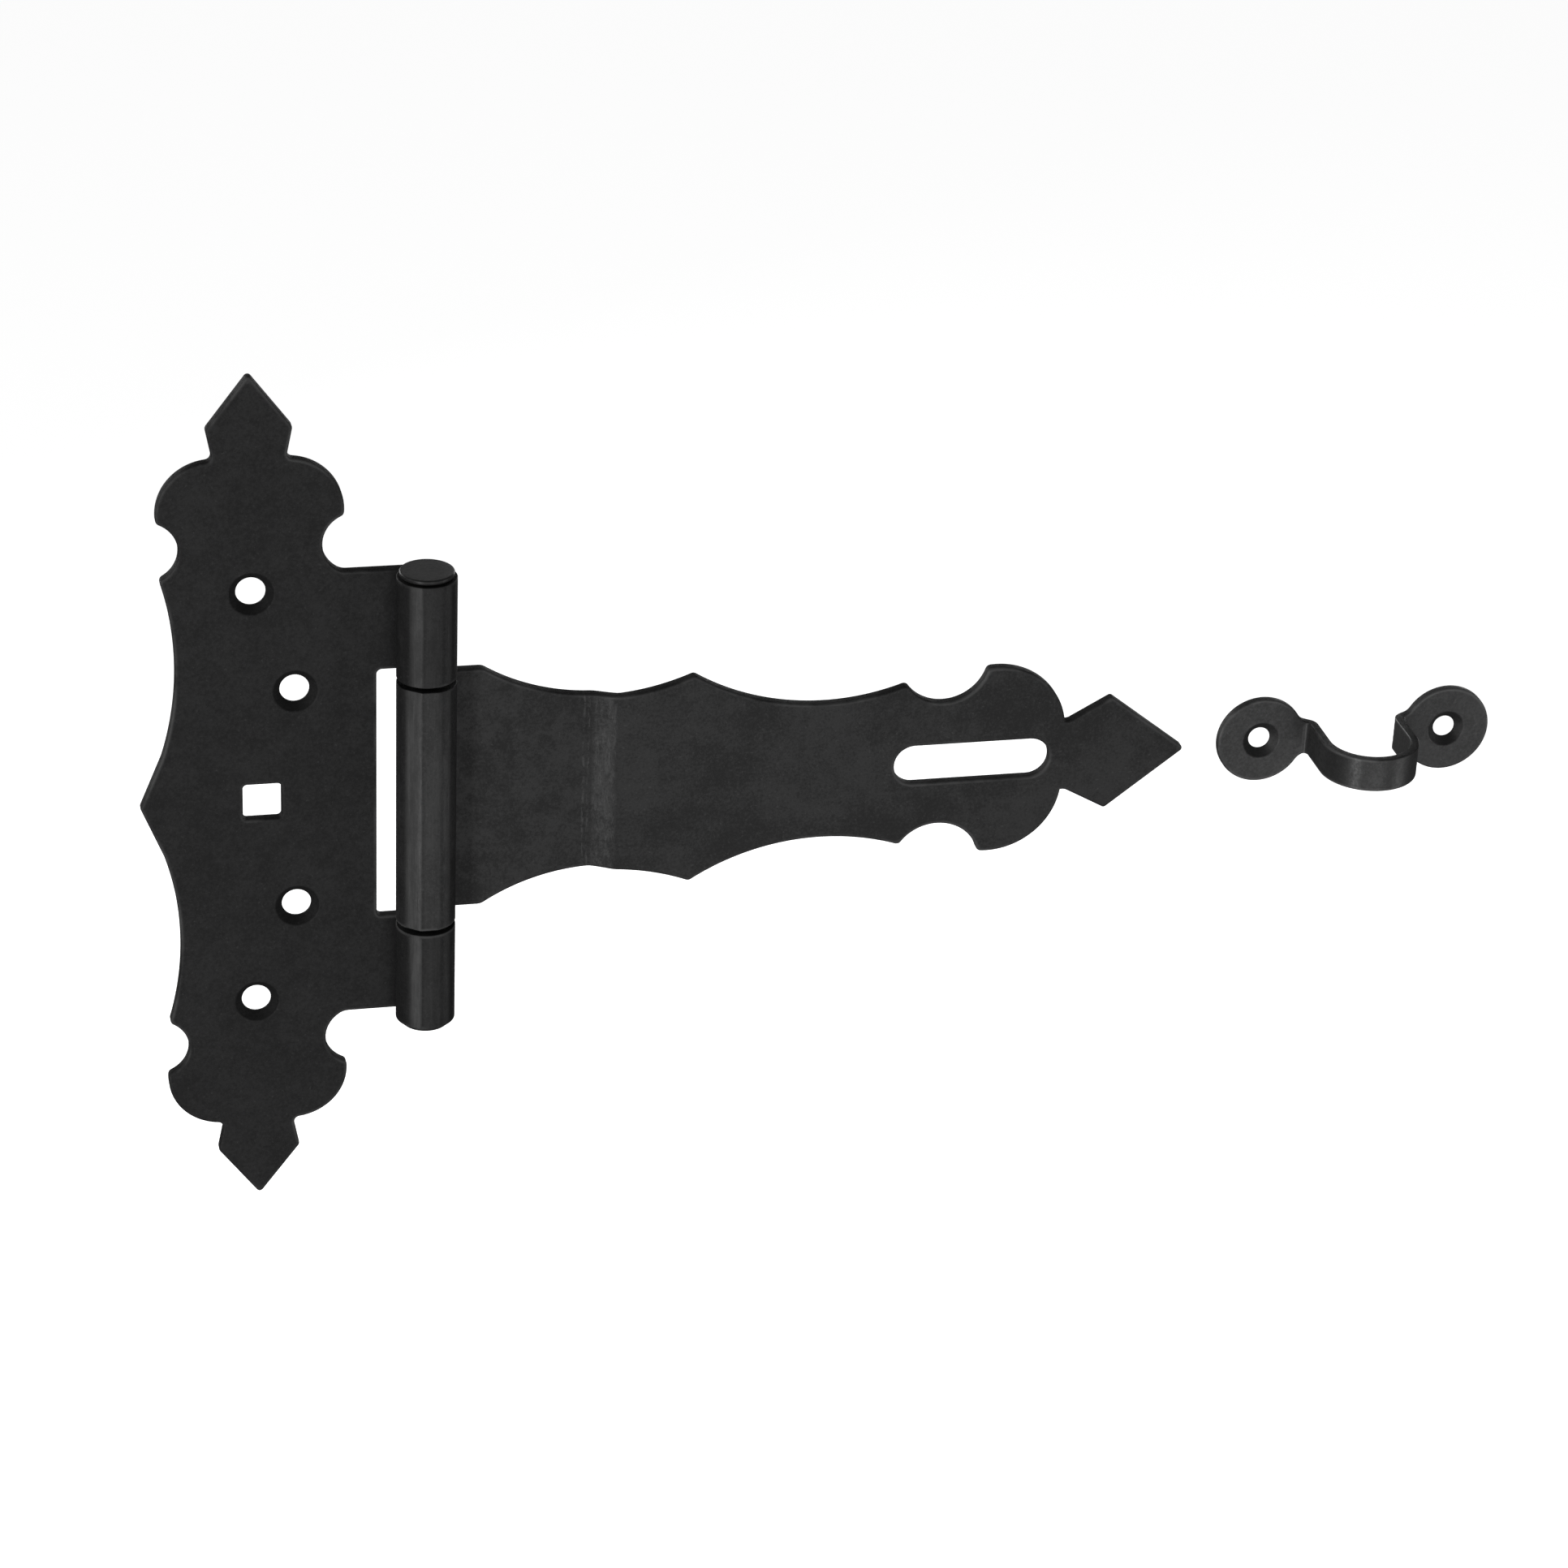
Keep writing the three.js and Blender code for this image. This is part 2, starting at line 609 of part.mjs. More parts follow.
function buildObject() {
  const object = new THREE.Group();
  object.add(piece("hinge_plate", hingePlate(), coatedSteel(0x2a2a2b, 0.45)));
  object.add(piece("hasp_strap", haspStrap(), coatedSteel(0x303031, 0.42)));
  object.add(piece("hinge_pin", hingePin(), coatedSteel(0x262627, 0.38)));
  const bow = piece("staple", staple(), coatedSteel(0x333334, 0.36));
  bow.position.set(STAPLE_X, 0, STAPLE_Z);
  object.add(bow);
  return object;
}

export default buildObject();
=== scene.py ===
"""Looks of the hinged hasp and staple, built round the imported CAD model.

Each pressed piece is made as its real maker makes it: a flat blank with a rounded edge, cut
out and then bent. The blank is drawn in millimetres as (along, up); a bend line then carries
it to its place, so the outline, the holes and the edge's rounding all follow the bends.
"""

import math

import bmesh
import bpy
import numpy as np
from mathutils import Matrix, Vector
from mathutils.geometry import delaunay_2d_cdt


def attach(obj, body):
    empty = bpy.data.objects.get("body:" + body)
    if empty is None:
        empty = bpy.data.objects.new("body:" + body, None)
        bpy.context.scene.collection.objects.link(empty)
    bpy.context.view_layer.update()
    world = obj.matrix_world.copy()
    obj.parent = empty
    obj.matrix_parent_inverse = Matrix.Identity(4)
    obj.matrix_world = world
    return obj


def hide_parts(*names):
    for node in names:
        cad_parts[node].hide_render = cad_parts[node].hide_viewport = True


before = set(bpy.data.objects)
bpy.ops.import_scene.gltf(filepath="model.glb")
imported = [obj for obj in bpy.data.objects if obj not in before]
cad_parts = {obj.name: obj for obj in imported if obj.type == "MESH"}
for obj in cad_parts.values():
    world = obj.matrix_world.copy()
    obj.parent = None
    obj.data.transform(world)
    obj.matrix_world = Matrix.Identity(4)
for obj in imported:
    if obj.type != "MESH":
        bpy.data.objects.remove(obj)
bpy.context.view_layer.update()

MM = 0.001

# ---- Driving dimensions, in millimetres, as in the CAD model ---------------------------
SHEET = 2.0
PIN_RADIUS = 3.5
BORE_CLEARANCE = 0.1
ROLL_GAP = 0.3
KNUCKLE_GAP = 1.0
STRAP_KNUCKLE_LENGTH = 49.5
PLATE_KNUCKLE_LENGTH = 20.1
PIN_HEAD_RADIUS = 5.1
PIN_HEAD_HEIGHT = 0.9
HEAD_RIM = 0.35
HEAD_UNDER_RIM = 0.15
HEAD_DISH = 0.06  # how far the middle of the head's top is sunk
HEAD_DISH_INSET = 2.2
RIVET_HEIGHT = 1.1
RIVET_CHAMFER = 0.7
RIVET_CROWN = 0.9
RIVET_SOFT = 0.15
RIVET_BULGE = 0.25
RIVET_DIP = 0.1
RIVET_RIM = 0.12
HEAD_CLEARANCE = 0.3
RIVET_CLEARANCE = 0.1

STEM_X = -31.5
WAIST_X = -45.6
WAIST_SHARE = 0.62
HOLLOW_END_SHARE = 0.221
POINT_X = -52.5
WINDOW_X = -8.7
BOLT_HOLE_X = -30.0
BOLT_HOLE_SIDE = 7.2
SCREW_HOLE_RADIUS = 2.75
SCREW_SINK_RADIUS = 4.2

NOTCH = (19.0, 5.5, 6.0)
LOBE = (6.7, 12.4, 10.3)
NECK_HALF_WIDTH = 6.6
BARB_HALF_WIDTH = 7.8
BARB_Z = 28.8
FINIAL_HEIGHT = 39.2

STRAP_LENGTH = 147.8
ROOT_LENGTH = 5.5
STRAP_NOTCH = (99.2, 21.5, 8.6)
STRAP_LOBE = (109.5, 5.6, 14.0)
STRAP_NECK = (124.3, 7.3)
STRAP_BARB = (132.5, 11.9)
FIRST_HOLLOW = (0.333 * STRAP_NOTCH[0], 18.1)
PEAK = (0.512 * STRAP_NOTCH[0], 21.7)
SECOND_HOLLOW = (0.766 * STRAP_NOTCH[0], 14.2)
JOGGLE_X = 0.313 * STRAP_NOTCH[0]
JOGGLE_RISE = 2.13
JOGGLE_ANGLE = math.radians(25)
JOGGLE_RADIUS = 4.0
SLOT_X = 105.4
SLOT_LENGTH = 30.6
SLOT_WIDTH = 8.0

STAPLE_SHEET = 1.6
STAPLE_X = 183.2
STAPLE_Z = -0.75
EYE_RADIUS = 8.75
EYE_SPACING = 38.0
EYE_HOLE_RADIUS = 2.15
EYE_SINK_RADIUS = 3.7
BAND_WIDTH = 6.8
BOW_WIDTH = 19.1
BOW_HEIGHT = 19.6
BOW_BEND_RADIUS = 1.8
BAND_FILLET = 2.6

TIP_ROUNDING = 0.74
CORNER_ROUNDING = 1.1
ARM_ROUNDING = 2.4
ROOT_ROUNDING = 2.5
WINDOW_ROUNDING = 1.0
BOLT_HOLE_ROUNDING = 0.8
STRIP_ROUNDING = 0.6
STEM_SCREW_DROP = 3.5
INNER_SCREW_X = -23.7
INNER_SCREW_DROP = 3.4
SHEET_EDGE = (0.15, 0.4)  # rounding of a cut edge at the back and at the front
STAPLE_EDGE = (0.2, 0.35)
FACETS = ((-54, -17), (-17, 16))  # on the strap's knuckle, degrees from facing the front

# ---- Fineness of the meshes ----------------------------------------------------------
CHORD = 0.6
CLOSEST = 0.12
GRID = 1.3
BEND_STEP = math.radians(4)
CORNER_STEP = math.radians(14)
ARC_STEP = math.radians(6)
HOLD = 0.12  # width of the level ring that keeps a flat face flat up to its rim
FAR = 5.0  # a gap from a lightened edge at which neither wearing nor painted highlight shows
BENT_GRID = GRID * 0.35  # grid where the sheet is bent
GRID_CLEAR = GRID * 0.45  # least gap from the grid to an outline
SAME_PLACE = 1e-6
LENGTH_STEP = 1e-9  # least advance between two marks of a bend line
WELD = 1e-7
DISTANCE_BATCH = 2000  # points measured at a time
PIN_SIDES = 96
SINK_SHADE = 0.5  # how much of a cut edge's painted shade a countersink's wall keeps
WALL_FROM_BACK = 0.1  # where a cut edge's or a countersink's wall starts
CUT_FROM_FRONT = 0.25  # and where it ends
SINK_FROM_FRONT = 0.1
PIN_EDGE_GAP = 0.6  # the gap that gives the turned pin a little of an edge's wear

KNUCKLE_RADIUS = PIN_RADIUS + BORE_CLEARANCE + SHEET
ROLL_RADIUS = KNUCKLE_RADIUS - SHEET / 2
ROLL_ANGLE = 2 * math.pi - math.acos(1 - (SHEET + ROLL_GAP) / KNUCKLE_RADIUS)
ROLL_LENGTH = ROLL_RADIUS * ROLL_ANGLE
STRAP_KNUCKLE_END = STRAP_KNUCKLE_LENGTH / 2
WINDOW_END = STRAP_KNUCKLE_END + KNUCKLE_GAP
KNUCKLE_END = WINDOW_END + PLATE_KNUCKLE_LENGTH
TIP_Z = KNUCKLE_END + FINIAL_HEIGHT
WAIST_Z = WAIST_SHARE * KNUCKLE_END
HOLLOW_END_Z = HOLLOW_END_SHARE * KNUCKLE_END
SCREW_HOLES = (
    (STEM_X, KNUCKLE_END - STEM_SCREW_DROP),
    (INNER_SCREW_X, WINDOW_END - INNER_SCREW_DROP),
)


# ---- Outlines ------------------------------------------------------------------------
def arc(x, z, radius, start, end):
    """Points of an arc, both ends included, angles in radians from +X towards +Z."""
    step = min(CHORD / radius, ARC_STEP)
    count = max(3, math.ceil(abs(end - start) / step))
    angles = np.linspace(start, end, count + 1)
    return [np.array([x + radius * math.cos(a), z + radius * math.sin(a)]) for a in angles]


def arc_between(circle, start, end):
    """The shorter arc of a circle (x, z, radius) between two points that lie on it."""
    x, z, radius = circle
    a = math.atan2(start[1] - z, start[0] - x)
    b = math.atan2(end[1] - z, end[0] - x)
    b += 2 * math.pi * round((a - b) / (2 * math.pi))
    return arc(x, z, radius, a, b)


def crossing(first, second):
    """Where two circles cross, on the left of the way from the first to the second."""
    dx, dz = second[0] - first[0], second[1] - first[1]
    distance = math.hypot(dx, dz)
    along = (first[2] ** 2 - second[2] ** 2 + distance**2) / (2 * distance)
    aside = math.sqrt(first[2] ** 2 - along**2)
    x = first[0] + (dx * along - dz * aside) / distance
    z = first[1] + (dz * along + dx * aside) / distance
    return np.array([x, z])


def on_circle_at_z(circle, z, side):
    x, centre_z, radius = circle
    return np.array([x + side * math.sqrt(radius**2 - (z - centre_z) ** 2), z])


def mirrored_below(points):
    return [p * (1, -1) for p in reversed(points)]


def without_repeats(points):
    before = [points[-1], *points[:-1]]
    return [p for p, q in zip(points, before) if np.linalg.norm(p - q) > SAME_PLACE]


def point_along(points, corner, way, distance):
    """The point at a distance from a corner along a closed outline, and the next corner."""
    index = corner
    while True:
        following = (index + way) % len(points)
        span = np.linalg.norm(points[following] - points[index])
        if span >= distance:
            share = distance / span
            return following, points[index] * (1 - share) + points[following] * share
        distance -= span
        index = following


def round_corner(points, place, radius):
    """Rounds the corner of a closed outline nearest to a place to a radius."""
    corner = int(np.argmin([np.linalg.norm(p - place) for p in points]))
    peak = points[corner]
    way_in = peak - point_along(points, corner, -1, radius)[1]
    way_out = point_along(points, corner, 1, radius)[1] - peak
    cosine = way_in @ way_out / np.linalg.norm(way_in) / np.linalg.norm(way_out)
    turn = math.acos(cosine)
    reach = radius * math.tan(turn / 2)
    before, start = point_along(points, corner, -1, reach)
    after, end = point_along(points, corner, 1, reach)
    pull = 4 / 3 * math.tan(turn / 4) / math.tan(turn / 2)
    near, far = start + (peak - start) * pull, end + (peak - end) * pull
    curve = []
    for t in np.linspace(0, 1, 1 + math.ceil(turn / CORNER_STEP)):
        first = start * (1 - t) ** 3 + near * 3 * t * (1 - t) ** 2
        curve.append(first + far * 3 * t**2 * (1 - t) + end * t**3)
    rest = []
    index = after
    while index != before:
        rest.append(points[index])
        index = (index + 1) % len(points)
    return without_repeats([*curve, *rest, points[before]])


def round_corners(points, places, radius):
    """Rounds several corners of a closed outline and their mirror images in z = 0."""
    for place in places:
        points = round_corner(points, np.array(place), radius)
        if place[1] != 0:
            points = round_corner(points, np.array(place) * (1, -1), radius)
    return points


def rectangle(x0, z0, x1, z1, radius):
    corners = [np.array(p, float) for p in ((x0, z0), (x1, z0), (x1, z1), (x0, z1))]
    points = list(corners)
    for corner in corners:
        points = round_corner(points, corner, radius)
    return points


def across_stem(point):
    return np.array([2 * STEM_X - point[0], point[1]])


def finial_side():
    """Right half of the upper finial, from the knuckle's end up to the barb."""
    notch = (STEM_X + NOTCH[0], KNUCKLE_END + NOTCH[1], NOTCH[2])
    lobe = (STEM_X + LOBE[0], KNUCKLE_END + LOBE[1], LOBE[2])
    foot = on_circle_at_z(notch, KNUCKLE_END, -1)
    cusp = crossing(lobe, notch)
    neck_x = STEM_X + NECK_HALF_WIDTH
    neck = np.array([neck_x, lobe[1] + math.sqrt(lobe[2] ** 2 - (neck_x - lobe[0]) ** 2)])
    barb = np.array([STEM_X + BARB_HALF_WIDTH, KNUCKLE_END + BARB_Z])
    run = [*arc_between(notch, foot, cusp), *arc_between(lobe, cusp, neck), barb]
    return run, foot, cusp, neck, barb


def hollow_edge(foot):
    """The plate's long hollow edge, from the upper finial's foot down to the straight."""
    inset = WAIST_X - foot[0]
    rise = foot[1] - WAIST_Z
    radius = (inset**2 + rise**2) / (2 * inset)
    circle = (WAIST_X - radius, WAIST_Z, radius)
    return arc_between(circle, foot, on_circle_at_z(circle, HOLLOW_END_Z, 1))


def plate_outline():
    """Outline of the plate's flat blank, with the two strips that roll round the pin."""
    run, foot, cusp, neck, barb = finial_side()
    tip = np.array([STEM_X, TIP_Z])
    point = np.array([POINT_X, 0.0])
    left_foot = across_stem(foot)
    window = np.array([WINDOW_X, WINDOW_END])
    strip = [np.array([ROLL_LENGTH, z]) for z in (WINDOW_END, KNUCKLE_END)]
    left = [across_stem(p) for p in reversed(run)]
    upper = [window, *strip, *run, tip, *left, *hollow_edge(left_foot)]
    points = without_repeats([*upper, point, *mirrored_below(upper)])
    sharp = [left_foot, cusp, across_stem(cusp), neck, across_stem(neck), barb, across_stem(barb)]
    points = round_corners(points, sharp, CORNER_ROUNDING)
    points = round_corners(points, [tip, point], TIP_ROUNDING)
    points = round_corners(points, [foot], ARM_ROUNDING)
    points = round_corners(points, strip, STRIP_ROUNDING)
    return round_corners(points, [window], WINDOW_ROUNDING)


def hollow_circle(bottom, end):
    """Circle that runs level through the bottom of a hollow and rises to an end point."""
    across, rise = end[0] - bottom[0], end[1] - bottom[1]
    radius = (across**2 + rise**2) / (2 * rise)
    return (bottom[0], bottom[1] + radius, radius)


def strap_outline():
    """Outline of the strap's flat blank, seen from the front before the joggle is pressed."""
    second = hollow_circle(SECOND_HOLLOW, PEAK)
    neck = np.array(STRAP_NECK)
    lobe_cusp = crossing(STRAP_NOTCH, STRAP_LOBE)
    notch_cusp = crossing(STRAP_NOTCH, second)
    peak = np.array(PEAK)
    root = np.array([KNUCKLE_RADIUS + ROOT_LENGTH, STRAP_KNUCKLE_END])
    strip = np.array([-ROLL_LENGTH, STRAP_KNUCKLE_END])
    tip = np.array([STRAP_LENGTH, 0.0])
    upper = [
        np.array(STRAP_BARB),
        neck,
        *arc_between(STRAP_LOBE, on_circle_at_z(STRAP_LOBE, neck[1], 1), lobe_cusp),
        *arc_between(STRAP_NOTCH, lobe_cusp, notch_cusp),
        *arc_between(second, notch_cusp, peak),
        *arc_between(hollow_circle(FIRST_HOLLOW, PEAK), peak, FIRST_HOLLOW),
        *arc_between(hollow_circle(FIRST_HOLLOW, root), FIRST_HOLLOW, root),
        strip,
    ]
    points = without_repeats([tip, *upper, *mirrored_below(upper)])
    points = round_corners(points, [neck, lobe_cusp, notch_cusp, peak], CORNER_ROUNDING)
    points = round_corners(points, [root], ROOT_ROUNDING)
    points = round_corners(points, [strip], STRIP_ROUNDING)
    return round_corners(points, [tip, STRAP_BARB], TIP_ROUNDING)


def slot_outline():
    radius = SLOT_WIDTH / 2
    reach = SLOT_LENGTH / 2 - radius
    right = arc(SLOT_X + reach, 0, radius, -math.pi / 2, math.pi / 2)
    left = arc(SLOT_X - reach, 0, radius, math.pi / 2, 3 * math.pi / 2)
    return [*right, *left]


def staple_outline(eye_s):
    """Outline of the staple's flat blank, with its eyes' centres at -eye_s and eye_s."""
    drop = BAND_WIDTH / 2 + BAND_FILLET
    back = math.sqrt((EYE_RADIUS + BAND_FILLET) ** 2 - drop**2)
    share = EYE_RADIUS / (EYE_RADIUS + BAND_FILLET)
    touch = np.array([eye_s - back * share, drop * share])
    eye = (eye_s, 0.0, EYE_RADIUS)
    fillet = (eye_s - back, drop, BAND_FILLET)
    band = np.array([eye_s - back, BAND_WIDTH / 2])
    outermost = np.array([eye_s + EYE_RADIUS, 0.0])
    right = [*arc_between(eye, outermost, touch), *arc_between(fillet, touch, band)]
    upper = [*right, *[p * (-1, 1) for p in reversed(right)]]
    return without_repeats([*upper, *mirrored_below(upper)])


# ---- Bend lines ----------------------------------------------------------------------
class BendLine:
    """Middle line of a bent sheet seen along Z, marked off by the length along it."""

    def __init__(self, x, y, heading):
        self.s = 0.0
        self.x, self.y, self.heading = x, y, heading
        self.marks = [(0.0, x, y, heading)]

    def mark(self):
        self.marks.append((self.s, self.x, self.y, self.heading))

    def straight(self, length):
        self.s += length
        self.x += length * math.cos(self.heading)
        self.y += length * math.sin(self.heading)
        self.mark()
        return self

    def bend(self, radius, angle):
        """A positive angle turns left."""
        turn = math.copysign(radius, angle)
        centre_x = self.x - turn * math.sin(self.heading)
        centre_y = self.y + turn * math.cos(self.heading)
        steps = math.ceil(abs(angle) / BEND_STEP)
        for _ in range(steps):
            self.heading += angle / steps
            self.s += radius * abs(angle) / steps
            self.x = centre_x + turn * math.sin(self.heading)
            self.y = centre_y - turn * math.cos(self.heading)
            self.mark()
        return self

    def backwards(self):
        """The same line walked the other way, with lengths below zero."""
        return [(-s, x, y, heading - math.pi) for s, x, y, heading in reversed(self.marks)]

    def mirrored(self):
        """Mirror image in x = 0, with lengths below zero."""
        return [(-s, -x, y, -heading) for s, x, y, heading in reversed(self.marks)]


class Bending:
    """Carries a point of the flat blank (s along, up, depth from its back) to its place."""

    def __init__(self, marks, thickness, rolls=True):
        self.rolls = rolls
        table = np.array(marks)
        keep = np.concatenate([[True], np.diff(table[:, 0]) > LENGTH_STEP])
        self.s, self.x, self.y, self.heading = table[keep].T
        self.thickness = thickness

    def s_at(self, x, start):
        """The length along the line at which it passes x, on its run after start."""
        run = self.s >= start
        return np.interp(x, self.x[run], self.s[run])

    def place(self, s, up, depth):
        x = np.interp(s, self.s, self.x)
        y = np.interp(s, self.s, self.y)
        heading = np.interp(s, self.s, self.heading)
        out = self.thickness / 2 - depth
        return np.stack([x - out * np.sin(heading), y + out * np.cos(heading), up], -1)

    def outside_of_roll(self, placed):
        """1 for points on the outer face of a sheet rolled round the pin, else 0."""
        if not self.rolls:
            return np.zeros(len(placed))
        radius = np.hypot(placed[:, 0], placed[:, 1] + KNUCKLE_RADIUS)
        near = radius > KNUCKLE_RADIUS - SHEET / 2
        return (near & (radius < KNUCKLE_RADIUS + 0.1)).astype(float)

    def is_bent(self, s, reach=0.0):
        """True where the line turns within a reach of s."""
        turn = np.abs(np.diff(self.heading)) > 1e-6
        starts, ends = self.s[:-1][turn], self.s[1:][turn]
        s = np.asarray(s)[:, None]
        return ((s > starts - reach) & (s < ends + reach)).any(1)


def plate_bending():
    line = BendLine(0, -SHEET / 2, 0).bend(ROLL_RADIUS, -ROLL_ANGLE)
    return Bending([(POINT_X * 2, POINT_X * 2, -SHEET / 2, 0.0), *line.marks], SHEET)


class FacetedBending(Bending):
    """A bending whose rolled end was pressed flat in two facets that meet in a crease."""

    def place(self, s, up, depth):
        spot = super().place(s, up, depth)
        x, y = spot[:, 0], spot[:, 1] + KNUCKLE_RADIUS
        radius = np.hypot(x, y)
        facing = np.degrees(np.arctan2(x, -y))
        bore = KNUCKLE_RADIUS - SHEET
        share = np.where(np.asarray(s) < 0, np.clip((radius - bore) / SHEET, 0, 1), 0)
        limit = np.full(len(spot), KNUCKLE_RADIUS)
        for start, end in FACETS:
            off = np.abs(facing - (start + end) / 2)
            chord = KNUCKLE_RADIUS * math.cos(math.radians(end - start) / 2)
            within = off < (end - start) / 2
            limit = np.where(within, chord / np.cos(np.radians(np.minimum(off, 60))), limit)
        scale = 1 - share * (KNUCKLE_RADIUS - limit) / KNUCKLE_RADIUS
        spot[:, 0] = x * scale
        spot[:, 1] = y * scale - KNUCKLE_RADIUS
        return spot


def strap_bending():
    roll = BendLine(0, -SHEET / 2, math.pi).bend(ROLL_RADIUS, ROLL_ANGLE)
    bends_rise = 2 * JOGGLE_RADIUS * (1 - math.cos(JOGGLE_ANGLE))
    ramp = (JOGGLE_RISE - bends_rise) / math.sin(JOGGLE_ANGLE)
    line = BendLine(0, -SHEET / 2, 0).straight(JOGGLE_X).bend(JOGGLE_RADIUS, -JOGGLE_ANGLE)
    line.straight(ramp).bend(JOGGLE_RADIUS, JOGGLE_ANGLE).straight(STRAP_LENGTH)
    return FacetedBending([*roll.backwards(), *line.marks], SHEET)


def staple_bending():
    leg_x = (BOW_WIDTH - STAPLE_SHEET) / 2
    leg = BOW_HEIGHT - STAPLE_SHEET - leg_x - BOW_BEND_RADIUS
    line = BendLine(0, STAPLE_SHEET / 2 - BOW_HEIGHT, 0).bend(leg_x, math.pi / 2)
    line.straight(leg).bend(BOW_BEND_RADIUS, -math.pi / 2).straight(EYE_SPACING)
    return Bending([*line.mirrored(), *line.marks], STAPLE_SHEET, rolls=False)


# ---- Blanks --------------------------------------------------------------------------
def resampled(points, spacing_at):
    """Splits each long side of a closed outline so that none is longer than spacing_at there."""
    apart = [points[0]]
    for p in points[1:]:
        if min(np.linalg.norm(p - apart[-1]), np.linalg.norm(p - points[0])) > CLOSEST:
            apart.append(p)
    coarse = []
    for p, q in zip(apart, [*apart[1:], apart[0]]):
        pieces = math.ceil(np.linalg.norm(q - p) / CHORD)
        coarse += [p + (q - p) * i / pieces for i in range(pieces)]
    made = []
    for p, q in zip(coarse, [*coarse[1:], coarse[0]]):
        pieces = math.ceil(np.linalg.norm(q - p) / spacing_at((p + q) / 2))
        made += [p + (q - p) * i / pieces for i in range(pieces)]
    return np.array(made)


def area_of(points):
    x, z = np.asarray(points).T
    return 0.5 * np.sum(x * np.roll(z, -1) - np.roll(x, -1) * z)


def inward(points):
    """Unit normals of a closed outline that point into the material."""
    side = np.roll(points, -1, 0) - points
    side /= np.linalg.norm(side, axis=1)[:, None]
    tangent = side + np.roll(side, 1, 0)
    normal = np.stack([-tangent[:, 1], tangent[:, 0]], 1)
    return normal / np.linalg.norm(normal, axis=1)[:, None]


def edge_profile(thickness, back_round, front_round, steps=4):
    """(inset, depth) pairs round a cut edge, from the back face to the front face."""
    turn = np.linspace(0, math.pi / 2, steps + 1)
    back = [(back_round * (1 - math.sin(a)), back_round * (1 - math.cos(a))) for a in turn]
    front_depth = thickness - front_round
    front = [
        (front_round * (1 - math.cos(a)), front_depth + front_round * math.sin(a)) for a in turn
    ]
    inner = front_round + HOLD
    return [(back_round + HOLD, 0.0), *back, *front, (inner, thickness)]


def sink_profile(thickness, radius, sink, soft=0.08):
    """(inset, depth) pairs of a countersunk hole, inset being measured from its bore."""
    reach = sink - radius
    cone = max(thickness - reach, 2.5 * soft)
    slope = (thickness - cone) / reach
    return [
        (soft + HOLD, 0.0),
        (soft, 0.0),
        (0.0, soft),
        (0.0, cone - soft * 0.5),
        (soft * 0.4, cone + soft * 0.4 * slope),
        (soft * 2, cone + soft * 2 * slope),
        (reach - soft * 2, thickness - soft * 2 * slope),
        (reach - soft, thickness - soft * slope),
        (reach + soft * 0.5, thickness - soft * 0.15),
        (reach + soft * 1.5, thickness),
        (reach + soft * 1.5 + HOLD, thickness),
    ]


def inside(points, loop):
    """Which of many points lie inside a closed outline."""
    x, z = points[:, 0][:, None], points[:, 1][:, None]
    x0, z0 = loop[:, 0][None], loop[:, 1][None]
    x1, z1 = np.roll(loop[:, 0], -1)[None], np.roll(loop[:, 1], -1)[None]
    straddles = (z0 > z) != (z1 > z)
    with np.errstate(divide="ignore", invalid="ignore"):
        crossing_x = x0 + (z - z0) * (x1 - x0) / (z1 - z0)
    return (straddles & (x < crossing_x)).sum(1) % 2 == 1


def distance_to(points, loops):
    """Distance from each point to the nearest side of any loop."""
    best = np.full(len(points), np.inf)
    for loop in loops:
        a = loop
        b = np.roll(loop, -1, 0)
        side = b - a
        for start in range(0, len(points), DISTANCE_BATCH):
            batch = slice(start, start + DISTANCE_BATCH)
            p = points[batch, None]
            t = np.clip(((p - a) * side).sum(2) / (side**2).sum(1), 0, 1)
            gap = np.linalg.norm(p - (a + side * t[..., None]), axis=2).min(1)
            best[batch] = np.minimum(best[batch], gap)
    return best


def fill(loops, columns, rows, clear):
    """Triangles between the loops, over their own points and a grid held clear of them."""
    grid = np.array([(x, z) for i, x in enumerate(columns) for z in rows + (i % 2) * GRID / 2])
    keep = inside(grid, loops[0])
    for hole in loops[1:]:
        keep &= ~inside(grid, hole)
    grid = grid[keep]
    grid = grid[distance_to(grid, loops) > clear]
    points = np.concatenate([*loops, grid])
    edges = []
    first = 0
    for loop in loops:
        count = len(loop)
        edges += [(first + i, first + (i + 1) % count) for i in range(count)]
        first += count
    found = delaunay_2d_cdt([Vector(p) for p in points], edges, [], 0, WELD, True)
    if not all(found[3]):
        raise ValueError("an outline's edge rings cross one another")
    origin = [ids[0] for ids in found[3]]
    faces = np.array([[origin[i] for i in face] for face in found[2]])
    middle = points[faces].mean(1)
    keep = inside(middle, loops[0])
    for hole in loops[1:]:
        keep &= ~inside(middle, hole)
    return points, faces[keep]


class Blank:
    """A flat sheet piece: its outer edge, its plain cut-outs and its countersunk holes."""

    def __init__(self, thickness, back_round, front_round):
        self.thickness = thickness
        self.back_round, self.front_round = back_round, front_round
        self.loops = []

    def add(self, points, profile, worn_and_lit):
        self.loops.append((np.asarray(points), profile, worn_and_lit))

    def cut(self, points, outer=False):
        """An edge with the sheet's usual rounding; the outer one runs anticlockwise."""
        points = np.asarray(points)
        if (area_of(points) > 0) != outer:
            points = points[::-1]
        profile = edge_profile(self.thickness, self.back_round, self.front_round)
        self.add(points, profile, True)

    def sink(self, x, z, radius, sink):
        """A countersunk hole."""
        circle = arc(x, z, radius, 0, -2 * math.pi)[:-1]
        self.add(circle, sink_profile(self.thickness, radius, sink), False)


